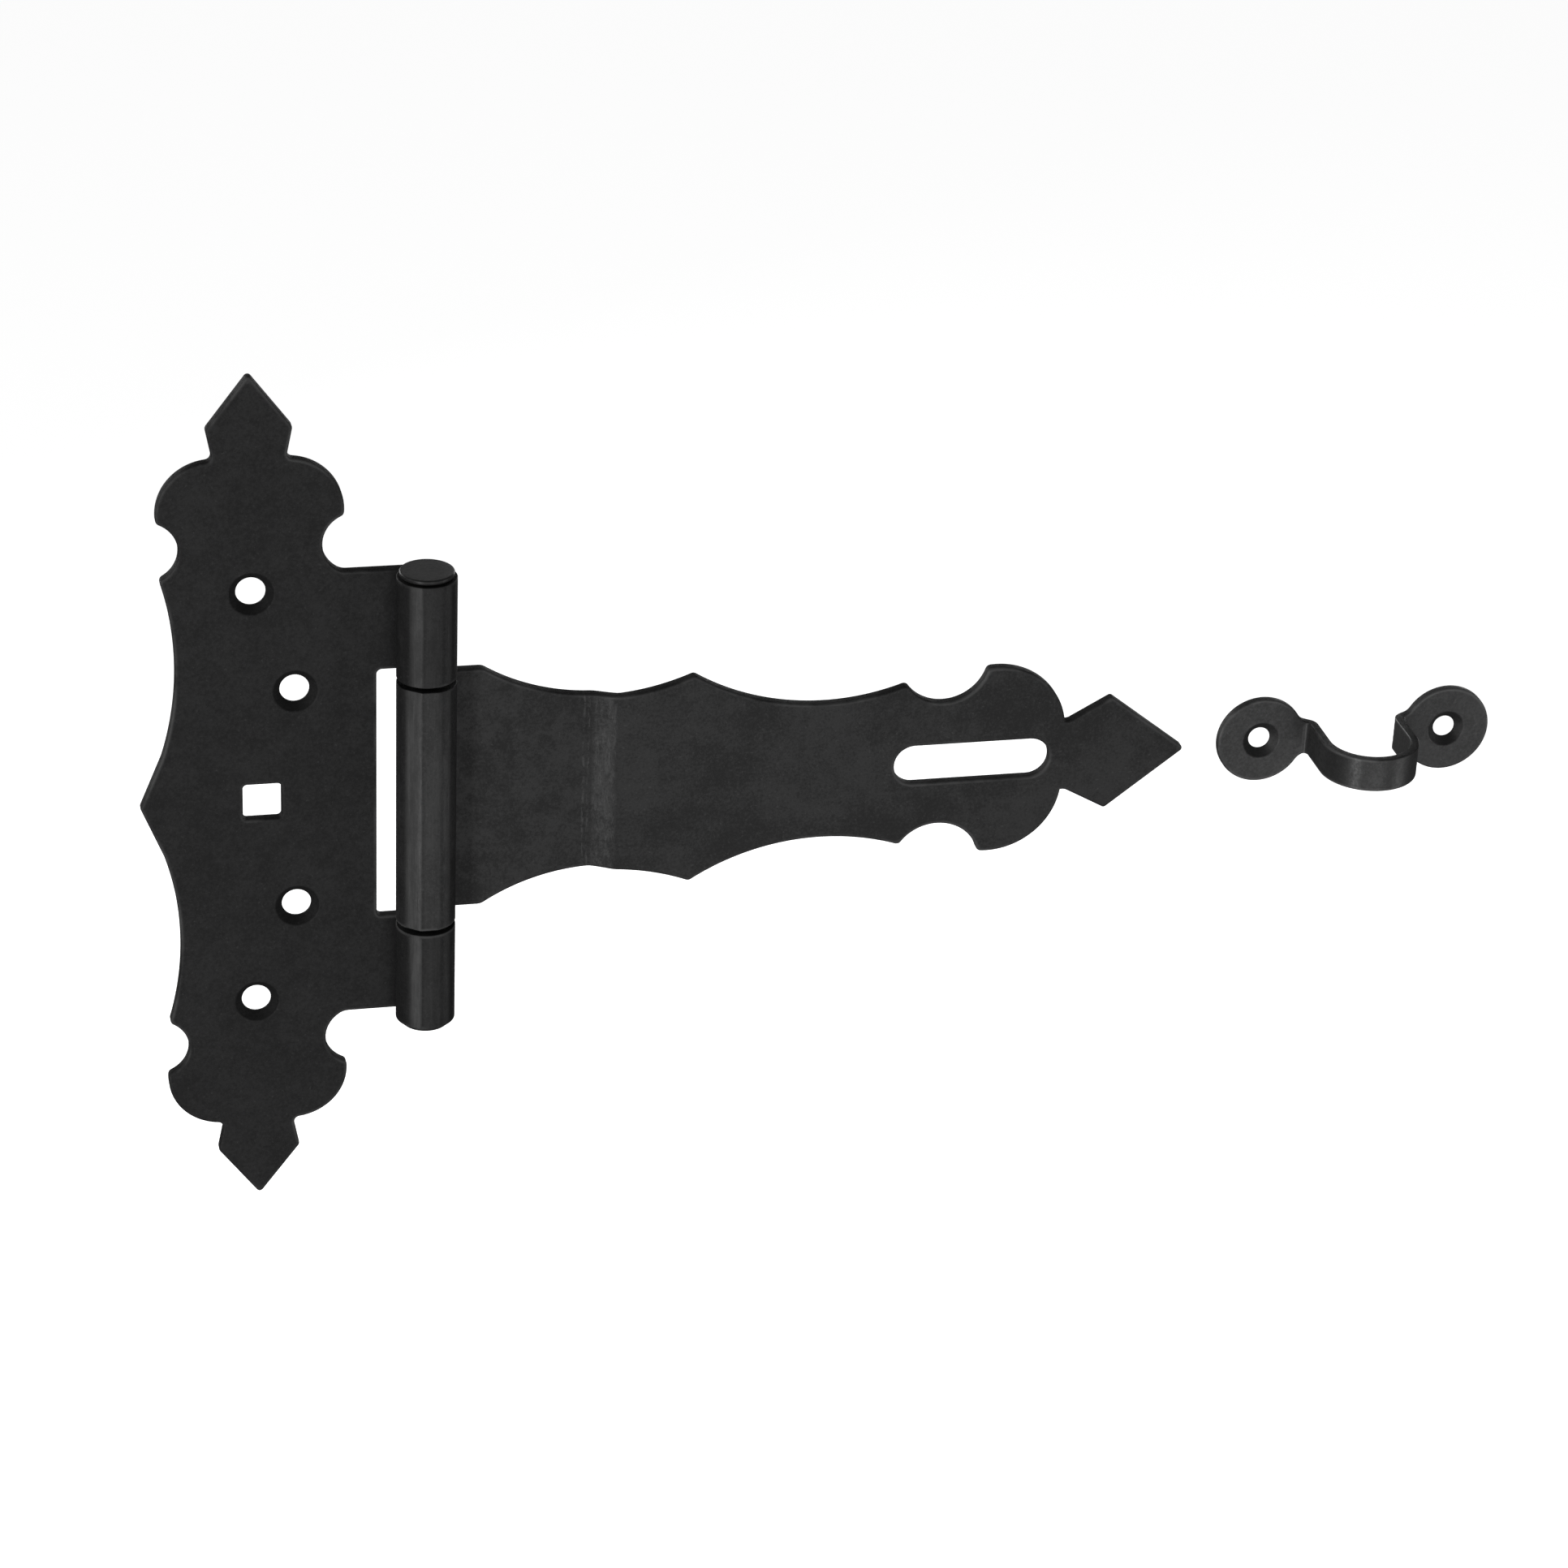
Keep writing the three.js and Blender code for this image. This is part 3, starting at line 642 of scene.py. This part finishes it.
class SheetMesh:
    """Gathers the blank's vertices as (s, up, depth), its faces, the gap to an edge lightened by
    wearing and painted highlight, and the painted shade of cut walls.
    """

    def __init__(self):
        self.spots = []
        self.gaps = []
        self.cut_shades = []
        self.faces = []
        self.count = 0

    def add(self, flat, depth, gap, cut=0.0):
        """Adds a run of vertices and gives the index of the first."""
        first = self.count
        self.cut_shades.append(np.full(len(flat), cut))
        self.spots.append(np.column_stack([flat, np.broadcast_to(depth, len(flat))]))
        self.gaps.append(np.broadcast_to(gap, len(flat)).astype(float))
        self.count += len(flat)
        return first

    def add_edge(self, points, profile, worn_and_lit):
        """Adds a cut edge and gives its back and front rims, each as (points, first index)."""
        normal = inward(points)
        thickness = profile[-1][1]
        rings = []
        for inset, depth in profile:
            gap = inset if worn_and_lit else FAR
            shade, from_front = (1.0, CUT_FROM_FRONT) if worn_and_lit else (SINK_SHADE, SINK_FROM_FRONT)
            # painted shade: the walls of cut edges, knuckle ends and countersinks are darkened,
            # standing in for the shade on them
            cut = shade * (WALL_FROM_BACK < depth < thickness - from_front)
            rings.append(self.add(points + normal * inset, depth, gap, cut))
        count = len(points)
        for low, high in zip(rings, rings[1:]):
            for i in range(count):
                j = (i + 1) % count
                self.faces.append((low + i, low + j, high + j, high + i))
        back = (points + normal * profile[0][0], rings[0])
        front = (points + normal * profile[-1][0], rings[-1])
        return back, front

    def add_face(self, rims, worn_and_lit_edges, depth, columns, rows, is_back):
        """Adds a flat face between rims."""
        loops = [points for points, _ in rims]
        flat, triangles = fill(loops, columns, rows, GRID_CLEAR)
        inner = flat[sum(len(p) for p in loops) :]
        added = self.add(inner, depth, distance_to(inner, worn_and_lit_edges))
        index = np.concatenate([first + np.arange(len(p)) for p, first in rims])
        index = np.concatenate([index, added + np.arange(len(inner))])
        turned = triangles if is_back else triangles[:, ::-1]
        self.faces += [tuple(index[list(t)]) for t in turned]


def sheet_mesh(name, blank, bending, columns, rows, spacing_at):
    """The bent piece as one closed mesh that knows its place on the blank."""
    built = SheetMesh()
    loops = [
        (resampled(points, spacing_at), profile, worn_and_lit) for points, profile, worn_and_lit in blank.loops
    ]
    rims = [built.add_edge(*loop) for loop in loops]
    worn_and_lit_edges = [points for points, _, worn_and_lit in loops if worn_and_lit]
    backs = [back for back, _ in rims]
    fronts = [front for _, front in rims]
    built.add_face(backs, worn_and_lit_edges, 0.0, columns, rows, True)
    built.add_face(fronts, worn_and_lit_edges, blank.thickness, columns, rows, False)
    s, up, depth = np.concatenate(built.spots).T
    placed = bending.place(s, up, depth)
    mesh = bpy.data.meshes.new(name)
    mesh.from_pydata((placed * MM).tolist(), [], built.faces)
    values = {
        "edge_gap": np.concatenate(built.gaps),
        "along": s,
        "cut": np.concatenate(built.cut_shades),
        "rolled": bending.outside_of_roll(placed),
        "facing": np.degrees(np.arctan2(placed[:, 0], -placed[:, 1] - KNUCKLE_RADIUS)),
    }
    for label, data in values.items():
        mesh.attributes.new(label, "FLOAT", "POINT").data.foreach_set("value", data.astype(float))
    return finished(name, mesh)


def finished(name, mesh):
    """A closed, outward-facing, smoothly shaded object from a mesh."""
    work = bmesh.new()
    work.from_mesh(mesh)
    bmesh.ops.recalc_face_normals(work, faces=work.faces)
    work.to_mesh(mesh)
    work.free()
    mesh.shade_smooth()
    made = bpy.data.objects.new(name, mesh)
    bpy.context.scene.collection.objects.link(made)
    return made


def spaced(start, end, bent):
    """Column places from start to end, close together where the sheet is bent."""
    places = [start]
    while places[-1] < end:
        near = bent(np.array([places[-1]]), GRID)[0]
        places.append(places[-1] + (BENT_GRID if near else GRID))
    return np.array(places)


def pressed(name, blank, bending, span, height):
    columns = spaced(*span, bending.is_bent)
    rows = np.arange(-height, height, GRID)

    def spacing_at(p):
        return BENT_GRID if bending.is_bent(p[:1], GRID)[0] else CHORD

    return sheet_mesh(name, blank, bending, columns, rows, spacing_at)


# ---- Pieces --------------------------------------------------------------------------
def make_plate():
    blank = Blank(SHEET, *SHEET_EDGE)
    blank.cut(plate_outline(), outer=True)
    half = BOLT_HOLE_SIDE / 2
    sides = (BOLT_HOLE_X - half, -half, BOLT_HOLE_X + half, half)
    blank.cut(rectangle(*sides, BOLT_HOLE_ROUNDING))
    for x, z in SCREW_HOLES:
        for up in (z, -z):
            blank.sink(x, up, SCREW_HOLE_RADIUS, SCREW_SINK_RADIUS)
    return pressed("hinge_plate_sheet", blank, plate_bending(), (POINT_X, ROLL_LENGTH), TIP_Z)


def make_strap():
    bending = strap_bending()
    flat = [np.array([bending.s_at(x, 0.0) if x > 0 else x, z]) for x, z in strap_outline()]
    slot = [np.array([bending.s_at(x, 0.0), z]) for x, z in slot_outline()]
    blank = Blank(SHEET, *SHEET_EDGE)
    blank.cut(flat, outer=True)
    blank.cut(slot)
    span = (-ROLL_LENGTH, bending.s_at(STRAP_LENGTH, 0.0))
    return pressed("hasp_strap_sheet", blank, bending, span, STRAP_KNUCKLE_END)


def make_staple():
    bending = staple_bending()
    eye_s = float(bending.s_at(EYE_SPACING / 2, bending.s[-2]))
    blank = Blank(STAPLE_SHEET, *STAPLE_EDGE)
    blank.cut(staple_outline(eye_s), outer=True)
    for side in (-1, 1):
        blank.sink(side * eye_s, 0, EYE_HOLE_RADIUS, EYE_SINK_RADIUS)
    reach = eye_s + EYE_RADIUS
    made = pressed("staple_band", blank, bending, (-reach, reach), EYE_RADIUS)
    made.data.transform(Matrix.Translation(Vector((STAPLE_X, 0, STAPLE_Z)) * MM))
    return made


def make_pin():
    """The pin as a turned piece: a flat head with a rounded rim, and a hammered lower end."""
    under = KNUCKLE_END + HEAD_CLEARANCE
    top = under + PIN_HEAD_HEIGHT
    turn = np.linspace(0, math.pi / 2, 6)
    head = [
        (PIN_HEAD_RADIUS - HEAD_RIM * (1 - math.cos(a)), top - HEAD_RIM * (1 - math.sin(a)))
        for a in turn
    ]
    rivet = -KNUCKLE_END - RIVET_CLEARANCE
    foot = rivet - RIVET_HEIGHT
    profile = [
        (0, foot),
        (PIN_HEAD_RADIUS - RIVET_CHAMFER - RIVET_CROWN, foot),
        (PIN_HEAD_RADIUS - RIVET_CHAMFER, foot + RIVET_SOFT),
        (PIN_HEAD_RADIUS - RIVET_BULGE, foot + RIVET_CHAMFER - RIVET_DIP),
        (PIN_HEAD_RADIUS, foot + RIVET_CHAMFER + RIVET_SOFT),
        (PIN_HEAD_RADIUS, rivet - RIVET_RIM),
        (PIN_HEAD_RADIUS - RIVET_RIM, rivet),
        (PIN_RADIUS, rivet),
        (PIN_RADIUS, under),
        (PIN_HEAD_RADIUS - HEAD_UNDER_RIM, under),
        (PIN_HEAD_RADIUS, under + HEAD_UNDER_RIM),
        *head,
        (PIN_HEAD_RADIUS - HEAD_DISH_INSET, top - HEAD_DISH / 2),
        (0, top - HEAD_DISH),
    ]
    return turned("hinge_pin_turned", profile, PIN_SIDES)


def turned(name, profile, count):
    """A closed solid of revolution about the pin's axis."""
    work = bmesh.new()
    rings = []
    for radius, z in profile:
        angles = np.linspace(0, 2 * math.pi, count, endpoint=False)
        spread = [(radius * math.cos(a), radius * math.sin(a) - KNUCKLE_RADIUS, z) for a in angles]
        if radius == 0:
            spread = spread[:1]
        rings.append([work.verts.new(Vector(p) * MM) for p in spread])
    for low, high in zip(rings, rings[1:]):
        for i in range(count):
            j = (i + 1) % count
            around = ((low, i), (low, j), (high, j), (high, i))
            corners = [ring[k % len(ring)] for ring, k in around]
            work.faces.new(list(dict.fromkeys(corners)))
    mesh = bpy.data.meshes.new(name)
    work.to_mesh(mesh)
    work.free()
    for label, value in (("edge_gap", PIN_EDGE_GAP), ("along", 0.0), ("rolled", 0.0), ("cut", 0.0)):
        data = [value] * len(mesh.vertices)
        mesh.attributes.new(label, "FLOAT", "POINT").data.foreach_set("value", data)
    return finished(name, mesh)


# ---- Materials -----------------------------------------------------------------------
class Shader:
    """A node material under construction, with short ways to add and join nodes."""

    def __init__(self, name):
        self.material = bpy.data.materials.new(name)
        self.material.use_nodes = True
        self.nodes = self.material.node_tree.nodes
        self.links = self.material.node_tree.links
        self.surface = next(n for n in self.nodes if n.type == "BSDF_PRINCIPLED")
        self.place = self.add("ShaderNodeTexCoord").outputs["Object"]

    def add(self, kind, **settings):
        node = self.nodes.new(kind)
        for key, value in settings.items():
            setattr(node, key, value)
        return node

    def join(self, source, target):
        if hasattr(source, "links"):
            self.links.new(source, target)
        else:
            target.default_value = source

    def maths(self, operation, a, b=0.0, clamp=False):
        node = self.add("ShaderNodeMath", operation=operation, use_clamp=clamp)
        self.join(a, node.inputs[0])
        self.join(b, node.inputs[1])
        return node.outputs[0]

    def stretched(self, scale):
        node = self.add("ShaderNodeMapping")
        self.join(self.place, node.inputs["Vector"])
        node.inputs["Scale"].default_value = scale
        return node.outputs["Vector"]

    def noise(self, scale, detail=3.0, rough=0.5, stretch=(1, 1, 1)):
        node = self.add("ShaderNodeTexNoise")
        node.inputs["Scale"].default_value = scale
        node.inputs["Detail"].default_value = detail
        node.inputs["Roughness"].default_value = rough
        self.join(self.stretched(stretch), node.inputs["Vector"])
        return node.outputs["Fac"]

    def spread(self, value, low, high, to_low=0.0, to_high=1.0):
        node = self.add("ShaderNodeMapRange", clamp=True, interpolation_type="SMOOTHSTEP")
        self.join(value, node.inputs["Value"])
        for key, number in zip(
            ("From Min", "From Max", "To Min", "To Max"), (low, high, to_low, to_high)
        ):
            node.inputs[key].default_value = number
        return node.outputs["Result"]

    def blend(self, share, first, second):
        """Colours or numbers mixed by a share; both are greys given as numbers or sockets."""
        node = self.add("ShaderNodeMix", data_type="RGBA")
        self.join(share, node.inputs["Factor"])
        for source, target in ((first, node.inputs["A"]), (second, node.inputs["B"])):
            if isinstance(source, tuple):
                target.default_value = (*source, 1)
            else:
                self.links.new(source, target)
        return node.outputs["Result"]

    def attribute(self, name):
        return self.add("ShaderNodeAttribute", attribute_name=name).outputs["Fac"]

    def bump(self, height, strength, distance, under=None):
        node = self.add("ShaderNodeBump")
        node.inputs["Strength"].default_value = strength
        node.inputs["Distance"].default_value = distance
        self.join(height, node.inputs["Height"])
        if under is not None:
            self.links.new(under, node.inputs["Normal"])
        return node.outputs["Normal"]


# Noise that the coating is made of; scales are repeats per metre
CLOUD = dict(scale=42, detail=4, rough=0.6)
MOTTLE = dict(scale=320, detail=5, rough=0.7)
GRAIN = dict(scale=1700, detail=3, rough=0.8)
FLECK = dict(scale=1500, detail=2, rough=0.5)
PATCH = dict(scale=60, detail=4, rough=0.65)
STREAK = dict(scale=900, detail=3, rough=0.7, stretch=(1, 1, 0.06))
SCUFF = dict(scale=500, detail=5, rough=0.75, stretch=(1, 1, 0.5))
SCRATCH = dict(scale=1100, detail=5, rough=0.8, stretch=(1, 1, 0.3))

MOTTLE_SHARE = 0.33
CLOUD_AND_GRAIN_SHARE = 0.67
DARKEST, LIGHTEST = 0.7, 1.35  # of the base colour
FLECK_STRENGTH = 0.25
EDGE_WEAR_AND_HIGHLIGHT = (0.15, 0.8)  # mm from the edge: fully lightened, and not lightened; partly wearing, partly painted highlight
PLAIN_ROLL_WEAR = 0.3
CREST_FADE = 7.0  # degrees
CREST_FLOOR, CREST_BREAK = 0.45, 0.35
BAND_FADE = 0.25  # mm
# Painted shade: cut walls and countersink walls are darkened towards near black
CUT_SHADE_STRENGTH = 0.75
CUT_SHADE_BLACK = (0.0025, 0.0025, 0.0025)
CUT_ROUGHER, RUBBED_SMOOTHER = 0.3, 0.08
TONE_ROUGHER, TONE_SMOOTHER = 0.07, 0.05
GRAIN_BUMP = (0.5, 0.00003)  # strength and height in metres
SCORE_BUMP = (0.35, 0.00006)
MOTTLE_BUMP = (0.35, 0.00008)


def faded(s, value, start, end, fade_in, fade_out):
    """1 between start and end, 0 outside, with soft sides."""
    rise = s.spread(value, start - fade_in, start + fade_in)
    fall = s.spread(value, end - fade_out, end + fade_out, 1.0, 0.0)
    return s.maths("MULTIPLY", rise, fall)


def edge_wear_and_highlight(s):
    """Patchy lightening along cut edges: partly wearing of the coating, partly painted highlight on
    the rounded edges.
    """
    near_edge = s.spread(s.attribute("edge_gap"), *EDGE_WEAR_AND_HIGHLIGHT, 1.0, 0.0)
    return s.maths("MULTIPLY", near_edge, s.spread(s.noise(**PATCH), 0.38, 0.62))


def rolled_wear_and_highlight(s, streaks, crests):
    """Streaky wearing on the outside of the knuckles, with crests lightened partly by rubbing and
    partly as painted highlight.
    """
    scuffs = s.spread(s.noise(**SCUFF), 0.35, 0.75)
    lightening = s.maths("MULTIPLY", s.maths("MULTIPLY", streaks, scuffs), PLAIN_ROLL_WEAR)
    facing = s.attribute("facing")
    for start, end, strength in crests:
        # painted highlight: bands at set facings are lightened where the knuckles catch the light,
        # partly also as rubbing
        crest = faded(s, facing, start, end, CREST_FADE, CREST_FADE / 2)
        crest = s.maths("MULTIPLY", crest, strength)
        both = s.maths("ADD", streaks, scuffs)
        broken = s.maths("ADD", CREST_FLOOR, s.maths("MULTIPLY", both, CREST_BREAK))
        lightening = s.maths("MAXIMUM", lightening, s.maths("MULTIPLY", crest, broken))
    return s.maths("MULTIPLY", s.attribute("rolled"), lightening)


def banded_wear(s, bands):
    """Scratched bands across the sheet, each given by where it starts and ends along it."""
    along = s.attribute("along")
    lightening = 0.0
    for start, end, strength in bands:
        band = s.maths("MULTIPLY", faded(s, along, start, end, BAND_FADE, BAND_FADE), strength)
        scratched = s.spread(s.noise(**SCRATCH), 0.49, 0.6)
        lightening = s.maths("MAXIMUM", lightening, s.maths("MULTIPLY", band, scratched))
    return lightening


def black_coating(
    name, base, worn_and_lit, rough, specular, contrast=3.0, clouding=0.06, bands=(), crests=()
):
    """Thin satin black coating on pressed steel: finely grained, thinned by rubbing at edges and
    bends, with painted highlights on edges and knuckle crests and painted shade on cut walls.
    """
    s = Shader(name)
    mottle = s.noise(**MOTTLE)
    grain = s.noise(**GRAIN)
    cloud = s.spread(s.noise(**CLOUD), 0.34, 0.66)
    clouds = s.maths("MULTIPLY", cloud, clouding)
    tone = s.maths("ADD", s.maths("MULTIPLY", mottle, MOTTLE_SHARE), clouds)
    tone = s.maths("ADD", tone, s.maths("MULTIPLY", grain, CLOUD_AND_GRAIN_SHARE - clouding))
    tone = s.spread(tone, 0.5 - 0.5 / contrast, 0.5 + 0.5 / contrast)

    streaks = s.spread(s.noise(**STREAK), 0.42, 0.68)
    # lightened by wearing and by painted highlight on edges and knuckle crests
    rubbed_and_lit = s.maths("MAXIMUM", edge_wear_and_highlight(s), rolled_wear_and_highlight(s, streaks, crests))
    if bands:
        rubbed_and_lit = s.maths("MAXIMUM", rubbed_and_lit, banded_wear(s, bands))
    cut = s.attribute("cut")

    flecks = s.spread(s.noise(**FLECK), 0.62, 0.74)
    dark = tuple(c * DARKEST for c in base)
    light = tuple(c * LIGHTEST for c in base)
    colour = s.blend(tone, dark, light)
    colour = s.blend(s.maths("MULTIPLY", flecks, FLECK_STRENGTH), colour, worn_and_lit)
    # wearing and painted highlight mixed towards the lighter colour
    colour = s.blend(rubbed_and_lit, colour, worn_and_lit)
    # painted shade on cut walls and countersink walls
    colour = s.blend(s.maths("MULTIPLY", cut, CUT_SHADE_STRENGTH), colour, CUT_SHADE_BLACK)
    s.links.new(colour, s.surface.inputs["Base Color"])

    roughness = s.spread(tone, 0.0, 1.0, rough + TONE_ROUGHER, rough - TONE_SMOOTHER)
    roughness = s.maths("ADD", roughness, s.maths("MULTIPLY", cut, CUT_ROUGHER))
    roughness = s.maths("SUBTRACT", roughness, s.maths("MULTIPLY", rubbed_and_lit, RUBBED_SMOOTHER))
    s.links.new(roughness, s.surface.inputs["Roughness"])
    s.surface.inputs["Specular IOR Level"].default_value = specular

    fine = s.bump(grain, *GRAIN_BUMP)
    scores = s.maths("MULTIPLY", s.attribute("rolled"), streaks)
    scored = s.bump(scores, *SCORE_BUMP, fine)
    s.links.new(s.bump(mottle, *MOTTLE_BUMP, scored), s.surface.inputs["Normal"])
    return s.material


# ---- Studio --------------------------------------------------------------------------
CAMERA_AZIMUTH = math.radians(-13.643)
CAMERA_ELEVATION = math.radians(26.876)
CAMERA_ROLL = math.radians(2.547)
CAMERA_DISTANCE = 0.86677
CAMERA_TARGET = Vector((0.069641, 0, -0.004315))
CAMERA_LENS = 104.37
SENSOR = 36.0
CLIP = (0.01, 50)
FLOOR_Z = -0.6
FLOOR_HALF = 12.0
FLOOR_WHITE = (0.9, 0.9, 0.9, 1)
FLOOR_ROUGHNESS = 0.9
FLOOR_GLOW = 0.9
WORLD_STRENGTH = 0.06
WHITE = (1, 1, 1, 1)
# name, azimuth, elevation, distance, width, height, power
LIGHTS = (
    ("front", 8, -18, 1.2, 0.9, 0.9, 5),
    ("key", -40, -12, 1.1, 0.2, 1.4, 9),
    ("side", -76, 18, 1.1, 0.3, 0.9, 2.0),
    ("fill", 62, -10, 1.2, 0.3, 1.2, 4),
    ("top", 166, 45, 1.2, 0.8, 0.8, 1.4),
    ("rear_left", 150, 2, 1.3, 0.8, 0.8, 5),
    ("rear_right", 212, 6, 1.3, 0.8, 0.8, 7),
)


def make_camera():
    data = bpy.data.cameras.new("camera")
    data.lens = CAMERA_LENS
    data.sensor_width = SENSOR
    data.clip_start, data.clip_end = CLIP
    camera = bpy.data.objects.new("camera", data)
    bpy.context.scene.collection.objects.link(camera)
    flat = math.cos(CAMERA_ELEVATION)
    back = Vector(
        (
            math.sin(CAMERA_AZIMUTH) * flat,
            -math.cos(CAMERA_AZIMUTH) * flat,
            math.sin(CAMERA_ELEVATION),
        )
    )
    level = Vector((math.cos(CAMERA_AZIMUTH), math.sin(CAMERA_AZIMUTH), 0))
    rise = back.cross(level)
    right = level * math.cos(CAMERA_ROLL) + rise * math.sin(CAMERA_ROLL)
    up = rise * math.cos(CAMERA_ROLL) - level * math.sin(CAMERA_ROLL)
    turn = Matrix((right, up, back)).transposed().to_4x4()
    camera.matrix_world = Matrix.Translation(CAMERA_TARGET + back * CAMERA_DISTANCE) @ turn
    bpy.context.scene.camera = camera


def soft_light(name, azimuth, elevation, distance, width, height, power):
    """A soft box that faces the middle of the strap from a direction given in degrees."""
    data = bpy.data.lights.new(name, "AREA")
    data.shape = "RECTANGLE"
    data.size, data.size_y = width, height
    data.energy = power
    light = bpy.data.objects.new(name, data)
    a, e = math.radians(azimuth), math.radians(elevation)
    way = Vector((math.sin(a) * math.cos(e), -math.cos(a) * math.cos(e), math.sin(e)))
    light.location = CAMERA_TARGET + way * distance
    light.rotation_mode = "QUATERNION"
    light.rotation_quaternion = way.to_track_quat("Z", "Y")
    light.visible_camera = False
    bpy.context.scene.collection.objects.link(light)


def make_floor():
    mesh = bpy.data.meshes.new("floor")
    half = FLOOR_HALF
    corners = [(-half, -half), (half, -half), (half, half), (-half, half)]
    mesh.from_pydata([(x, y, FLOOR_Z) for x, y in corners], [], [(0, 1, 2, 3)])
    floor = bpy.data.objects.new("floor", mesh)
    bpy.context.scene.collection.objects.link(floor)
    material = bpy.data.materials.new("floor_white")
    material.use_nodes = True
    surface = material.node_tree.nodes["Principled BSDF"]
    surface.inputs["Base Color"].default_value = FLOOR_WHITE
    surface.inputs["Roughness"].default_value = FLOOR_ROUGHNESS
    surface.inputs["Emission Color"].default_value = WHITE
    surface.inputs["Emission Strength"].default_value = FLOOR_GLOW
    mesh.materials.append(material)
    floor.visible_diffuse = False
    floor.visible_glossy = False


def make_world():
    """A dim studio, so that what turns away from the soft boxes falls dark."""
    world = bpy.data.worlds.new("studio")
    bpy.context.scene.world = world
    world.use_nodes = True
    background = world.node_tree.nodes["Background"]
    background.inputs["Color"].default_value = WHITE
    background.inputs["Strength"].default_value = WORLD_STRENGTH


# ---- Looks of each piece -------------------------------------------------------------
def paint(piece, material, body, nodes):
    piece.data.materials.append(material)
    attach(piece, body)
    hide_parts(nodes)


# Worn bands on the joggle: start and end along the strap, and strength
STEP = (JOGGLE_X + 1.2, JOGGLE_X + 5.8, 0.3)
STEP_LINES = (
    (JOGGLE_X - 1.0, JOGGLE_X - 0.6, 0.7),
    (JOGGLE_X + 0.0, JOGGLE_X + 0.4, 0.7),
    (JOGGLE_X + 5.2, JOGGLE_X + 5.7, 0.5),
)
# Crests of the knuckles, lightened partly by rubbing and partly as painted highlight: start and end
# in degrees from facing the front, and strength
PLATE_CRESTS = ((-40, -16, 1.0), (-12, 22, 0.3), (32, 46, 0.5))
STRAP_CRESTS = ((-50, -17, 0.95), (-12, 22, 0.4), (30, 44, 0.4))
PLATE = dict(
    base=(0.0118, 0.0118, 0.012), worn_and_lit=(0.055, 0.055, 0.055), rough=0.52, specular=0.15,
    crests=PLATE_CRESTS,
)
# The strap's base is a little lighter than the plate's: painted sheen, for the extra light the
# strap reflects
STRAP = dict(
    base=(0.0148, 0.0148, 0.015), worn_and_lit=(0.06, 0.06, 0.06), rough=0.48, specular=0.2,
    contrast=4.4, clouding=0.11, bands=(STEP, *STEP_LINES), crests=STRAP_CRESTS,
)
PIN = dict(base=(0.013, 0.013, 0.0132), worn_and_lit=(0.05, 0.05, 0.05), rough=0.42, specular=0.25)
STAPLE = dict(
    base=(0.023, 0.023, 0.0232), worn_and_lit=(0.085, 0.085, 0.085), rough=0.4, specular=0.36,
    contrast=3.6,
)

paint(
    make_plate(), black_coating("plate_coating", **PLATE), "plate", "hinge_plate"
)
paint(make_strap(), black_coating("strap_coating", **STRAP), "strap", "hasp_strap")
paint(make_pin(), black_coating("pin_coating", **PIN), "plate", "hinge_pin")
paint(
    make_staple(), black_coating("staple_coating", **STAPLE), "staple", "staple"
)

make_camera()
make_floor()
make_world()
for light in LIGHTS:
    soft_light(*light)
bpy.context.scene.view_settings.view_transform = "Standard"
